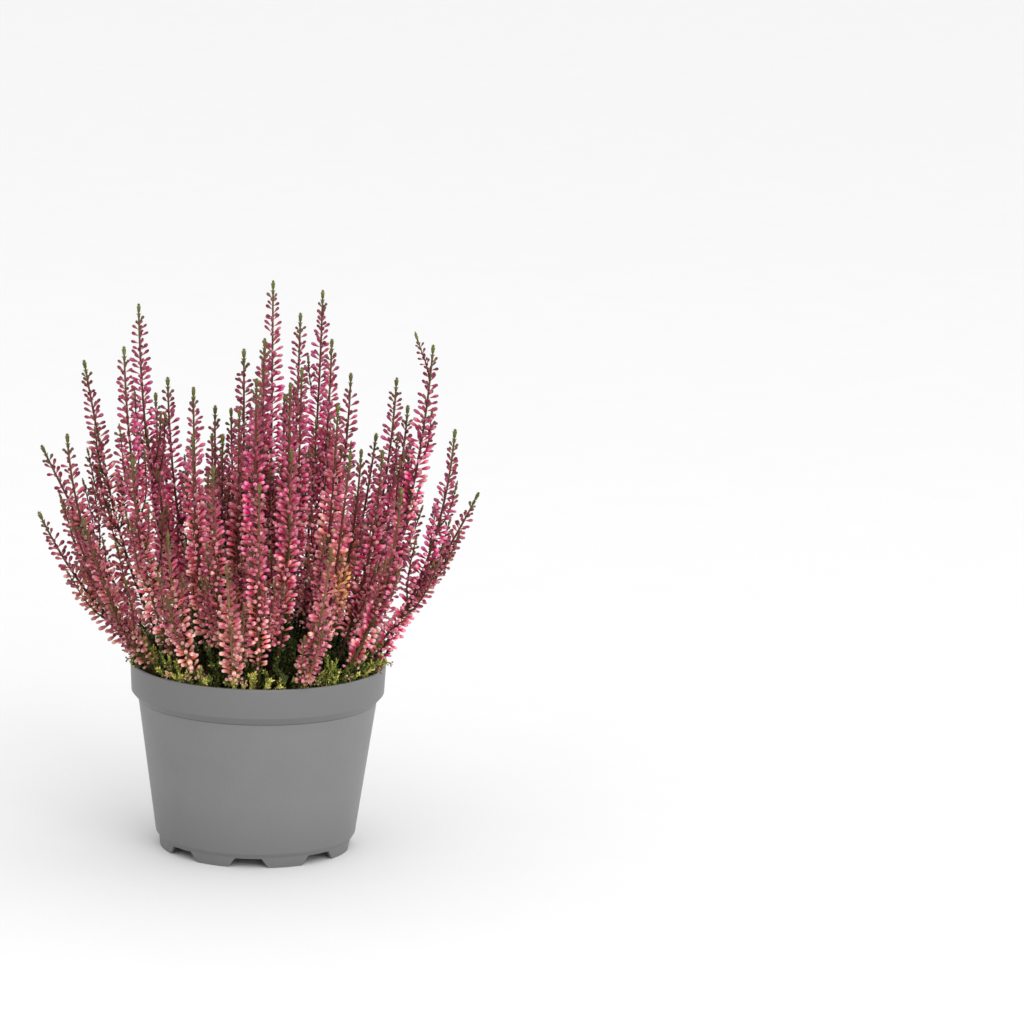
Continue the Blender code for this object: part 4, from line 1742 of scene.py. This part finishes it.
@dataclass
class Studio:
    """A pale floor, soft light and the camera at the photograph's angle."""

    floor_finish: Material
    floor_size: float = 60.0
    left_to_right: tuple[float, ...] = (-1.0, 0.1, 0.88, 1.4)
    lights: tuple = (("key_light", (1.3, -2.6, 1.6), 38.0), ("fill_light", (-1.6, -2.2, 2.4), 9.0))
    light_size: float = 2.2
    lit_point: Triple = (0.0, 0.0, 0.13)
    image_side: int = 1024
    metres_per_pixel: float = 0.51 * MM
    distance: float = 2.3
    elevation: float = math.radians(13.2)
    roll: float = math.radians(-0.95)
    target: Triple = (0.0, 0.0, 96 * MM)
    target_pixel: Span = (258.5, 660.0)
    sensor: float = 36.0
    farthest: float = 200.0

    def add_floor(self) -> None:
        """Adds the floor."""
        clear_selection()
        bpy.ops.mesh.primitive_plane_add(size=self.floor_size)
        floor = bpy.context.object
        floor.name = floor.data.name = "pale_floor"
        seat_mesh(floor)
        floor.data.materials.append(self.floor_finish)

    def add_lights(self) -> None:
        """Adds a white surround that is brighter at the right, and two large soft lights."""
        world = bpy.data.worlds.new("white_surround")
        world.use_nodes = True
        nodes, link = world.node_tree.nodes, world.node_tree.links.new
        nodes["Background"].inputs["Color"].default_value = (1.0, 1.0, 1.0, 1.0)
        split = nodes.new("ShaderNodeSeparateXYZ")
        link(nodes.new("ShaderNodeTexCoord").outputs["Generated"], split.inputs["Vector"])
        strength = nodes.new("ShaderNodeMapRange")
        for socket, value in zip(("From Min", "From Max", "To Min", "To Max"), self.left_to_right):
            strength.inputs[socket].default_value = value
        link(split.outputs["X"], strength.inputs["Value"])
        link(strength.outputs["Result"], nodes["Background"].inputs["Strength"])
        bpy.context.scene.world = world
        for name, place, power in self.lights:
            clear_selection()
            bpy.ops.object.light_add(type="AREA", location=place)
            light = bpy.context.object
            light.name = name
            light.data.size = self.light_size
            light.data.energy = power
            aim = Vector(self.lit_point) - Vector(place)
            light.rotation_euler = aim.to_track_quat("-Z", "Y").to_euler()

    def add_camera(self) -> None:
        """Adds the camera, turned so that the object stands at its place in the photograph's frame."""
        camera_data = bpy.data.cameras.new("photo_camera")
        camera = bpy.data.objects.new("photo_camera", camera_data)
        bpy.context.scene.collection.objects.link(camera)
        camera_data.sensor_width = self.sensor
        camera_data.lens = self.sensor * self.distance / (self.image_side * self.metres_per_pixel)
        camera_data.clip_end = self.farthest
        forward = Vector((0.0, math.cos(self.elevation), -math.sin(self.elevation)))
        right = Vector((1.0, 0.0, 0.0))
        facing = Matrix((right, right.cross(forward), -forward)).transposed()
        middle = 0.5 * self.image_side
        across = (self.target_pixel[0] - middle) * self.metres_per_pixel
        up = (middle - self.target_pixel[1]) * self.metres_per_pixel
        straight = Vector((0.0, 0.0, -1.0))
        aim = straight.rotation_difference(Vector((across, up, -self.distance))).to_matrix()
        turned = facing @ Matrix.Rotation(-self.roll, 3, "Z") @ aim.inverted()
        place = Vector(self.target) - self.distance * forward
        camera.matrix_world = Matrix.Translation(place) @ turned.to_4x4()
        bpy.context.scene.camera = camera

    def build(self) -> None:
        """Builds the studio."""
        self.add_floor()
        self.add_lights()
        self.add_camera()
        bpy.context.scene.view_settings.view_transform = "Standard"


def report(piece: Piece) -> int:
    """Logs a piece's name and its count of triangles.

    Args:
        piece: The piece.

    Returns:
        The count.
    """
    count = sum(len(face.vertices) - 2 for face in piece.data.polygons)
    log.info("%s: %d triangles", piece.name, count)
    return count


def main() -> None:
    """Builds every part of the scene in order."""
    logging.basicConfig(level=logging.INFO, format="%(message)s")
    bench = ShapeBench()
    shapes = PlantShapes(
        bench.bud(6), bench.bud(5), bench.scale_leaf(), bench.needle(), bench.tube(6, 24), bench.tube(5, 8)
    )
    growth = Growth(shapes)
    soil = Soil(Peat().make(), bench.crumb())
    finishes = [StemBark().make(), BudPetal().make(), ScaleLeaf().make()]
    total = report(Pot(PotPlastic().make()).build())
    total += report(soil.build())
    for node in sorted(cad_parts):
        if node.startswith("spike"):
            total += report(FlowerSpike(node, growth, finishes).build())
        elif node.startswith("leafy"):
            total += report(LeafyShoot(node, growth, finishes).build())
    for habit, count, seed, flowering_share in (
        (Habit.RIM, 160, 5, 0.16), (Habit.LIP, 18, 8, 1.0), (Habit.INNER, 130, 6, 0.16)
    ):
        twigs = LowTwigs(habit, growth, finishes, soil.surface(), count, seed, flowering_share)
        total += report(twigs.build())
    log.info("all pieces: %d triangles", total)
    Studio(FloorPaper().make()).build()


if __name__ == "__main__":
    main()
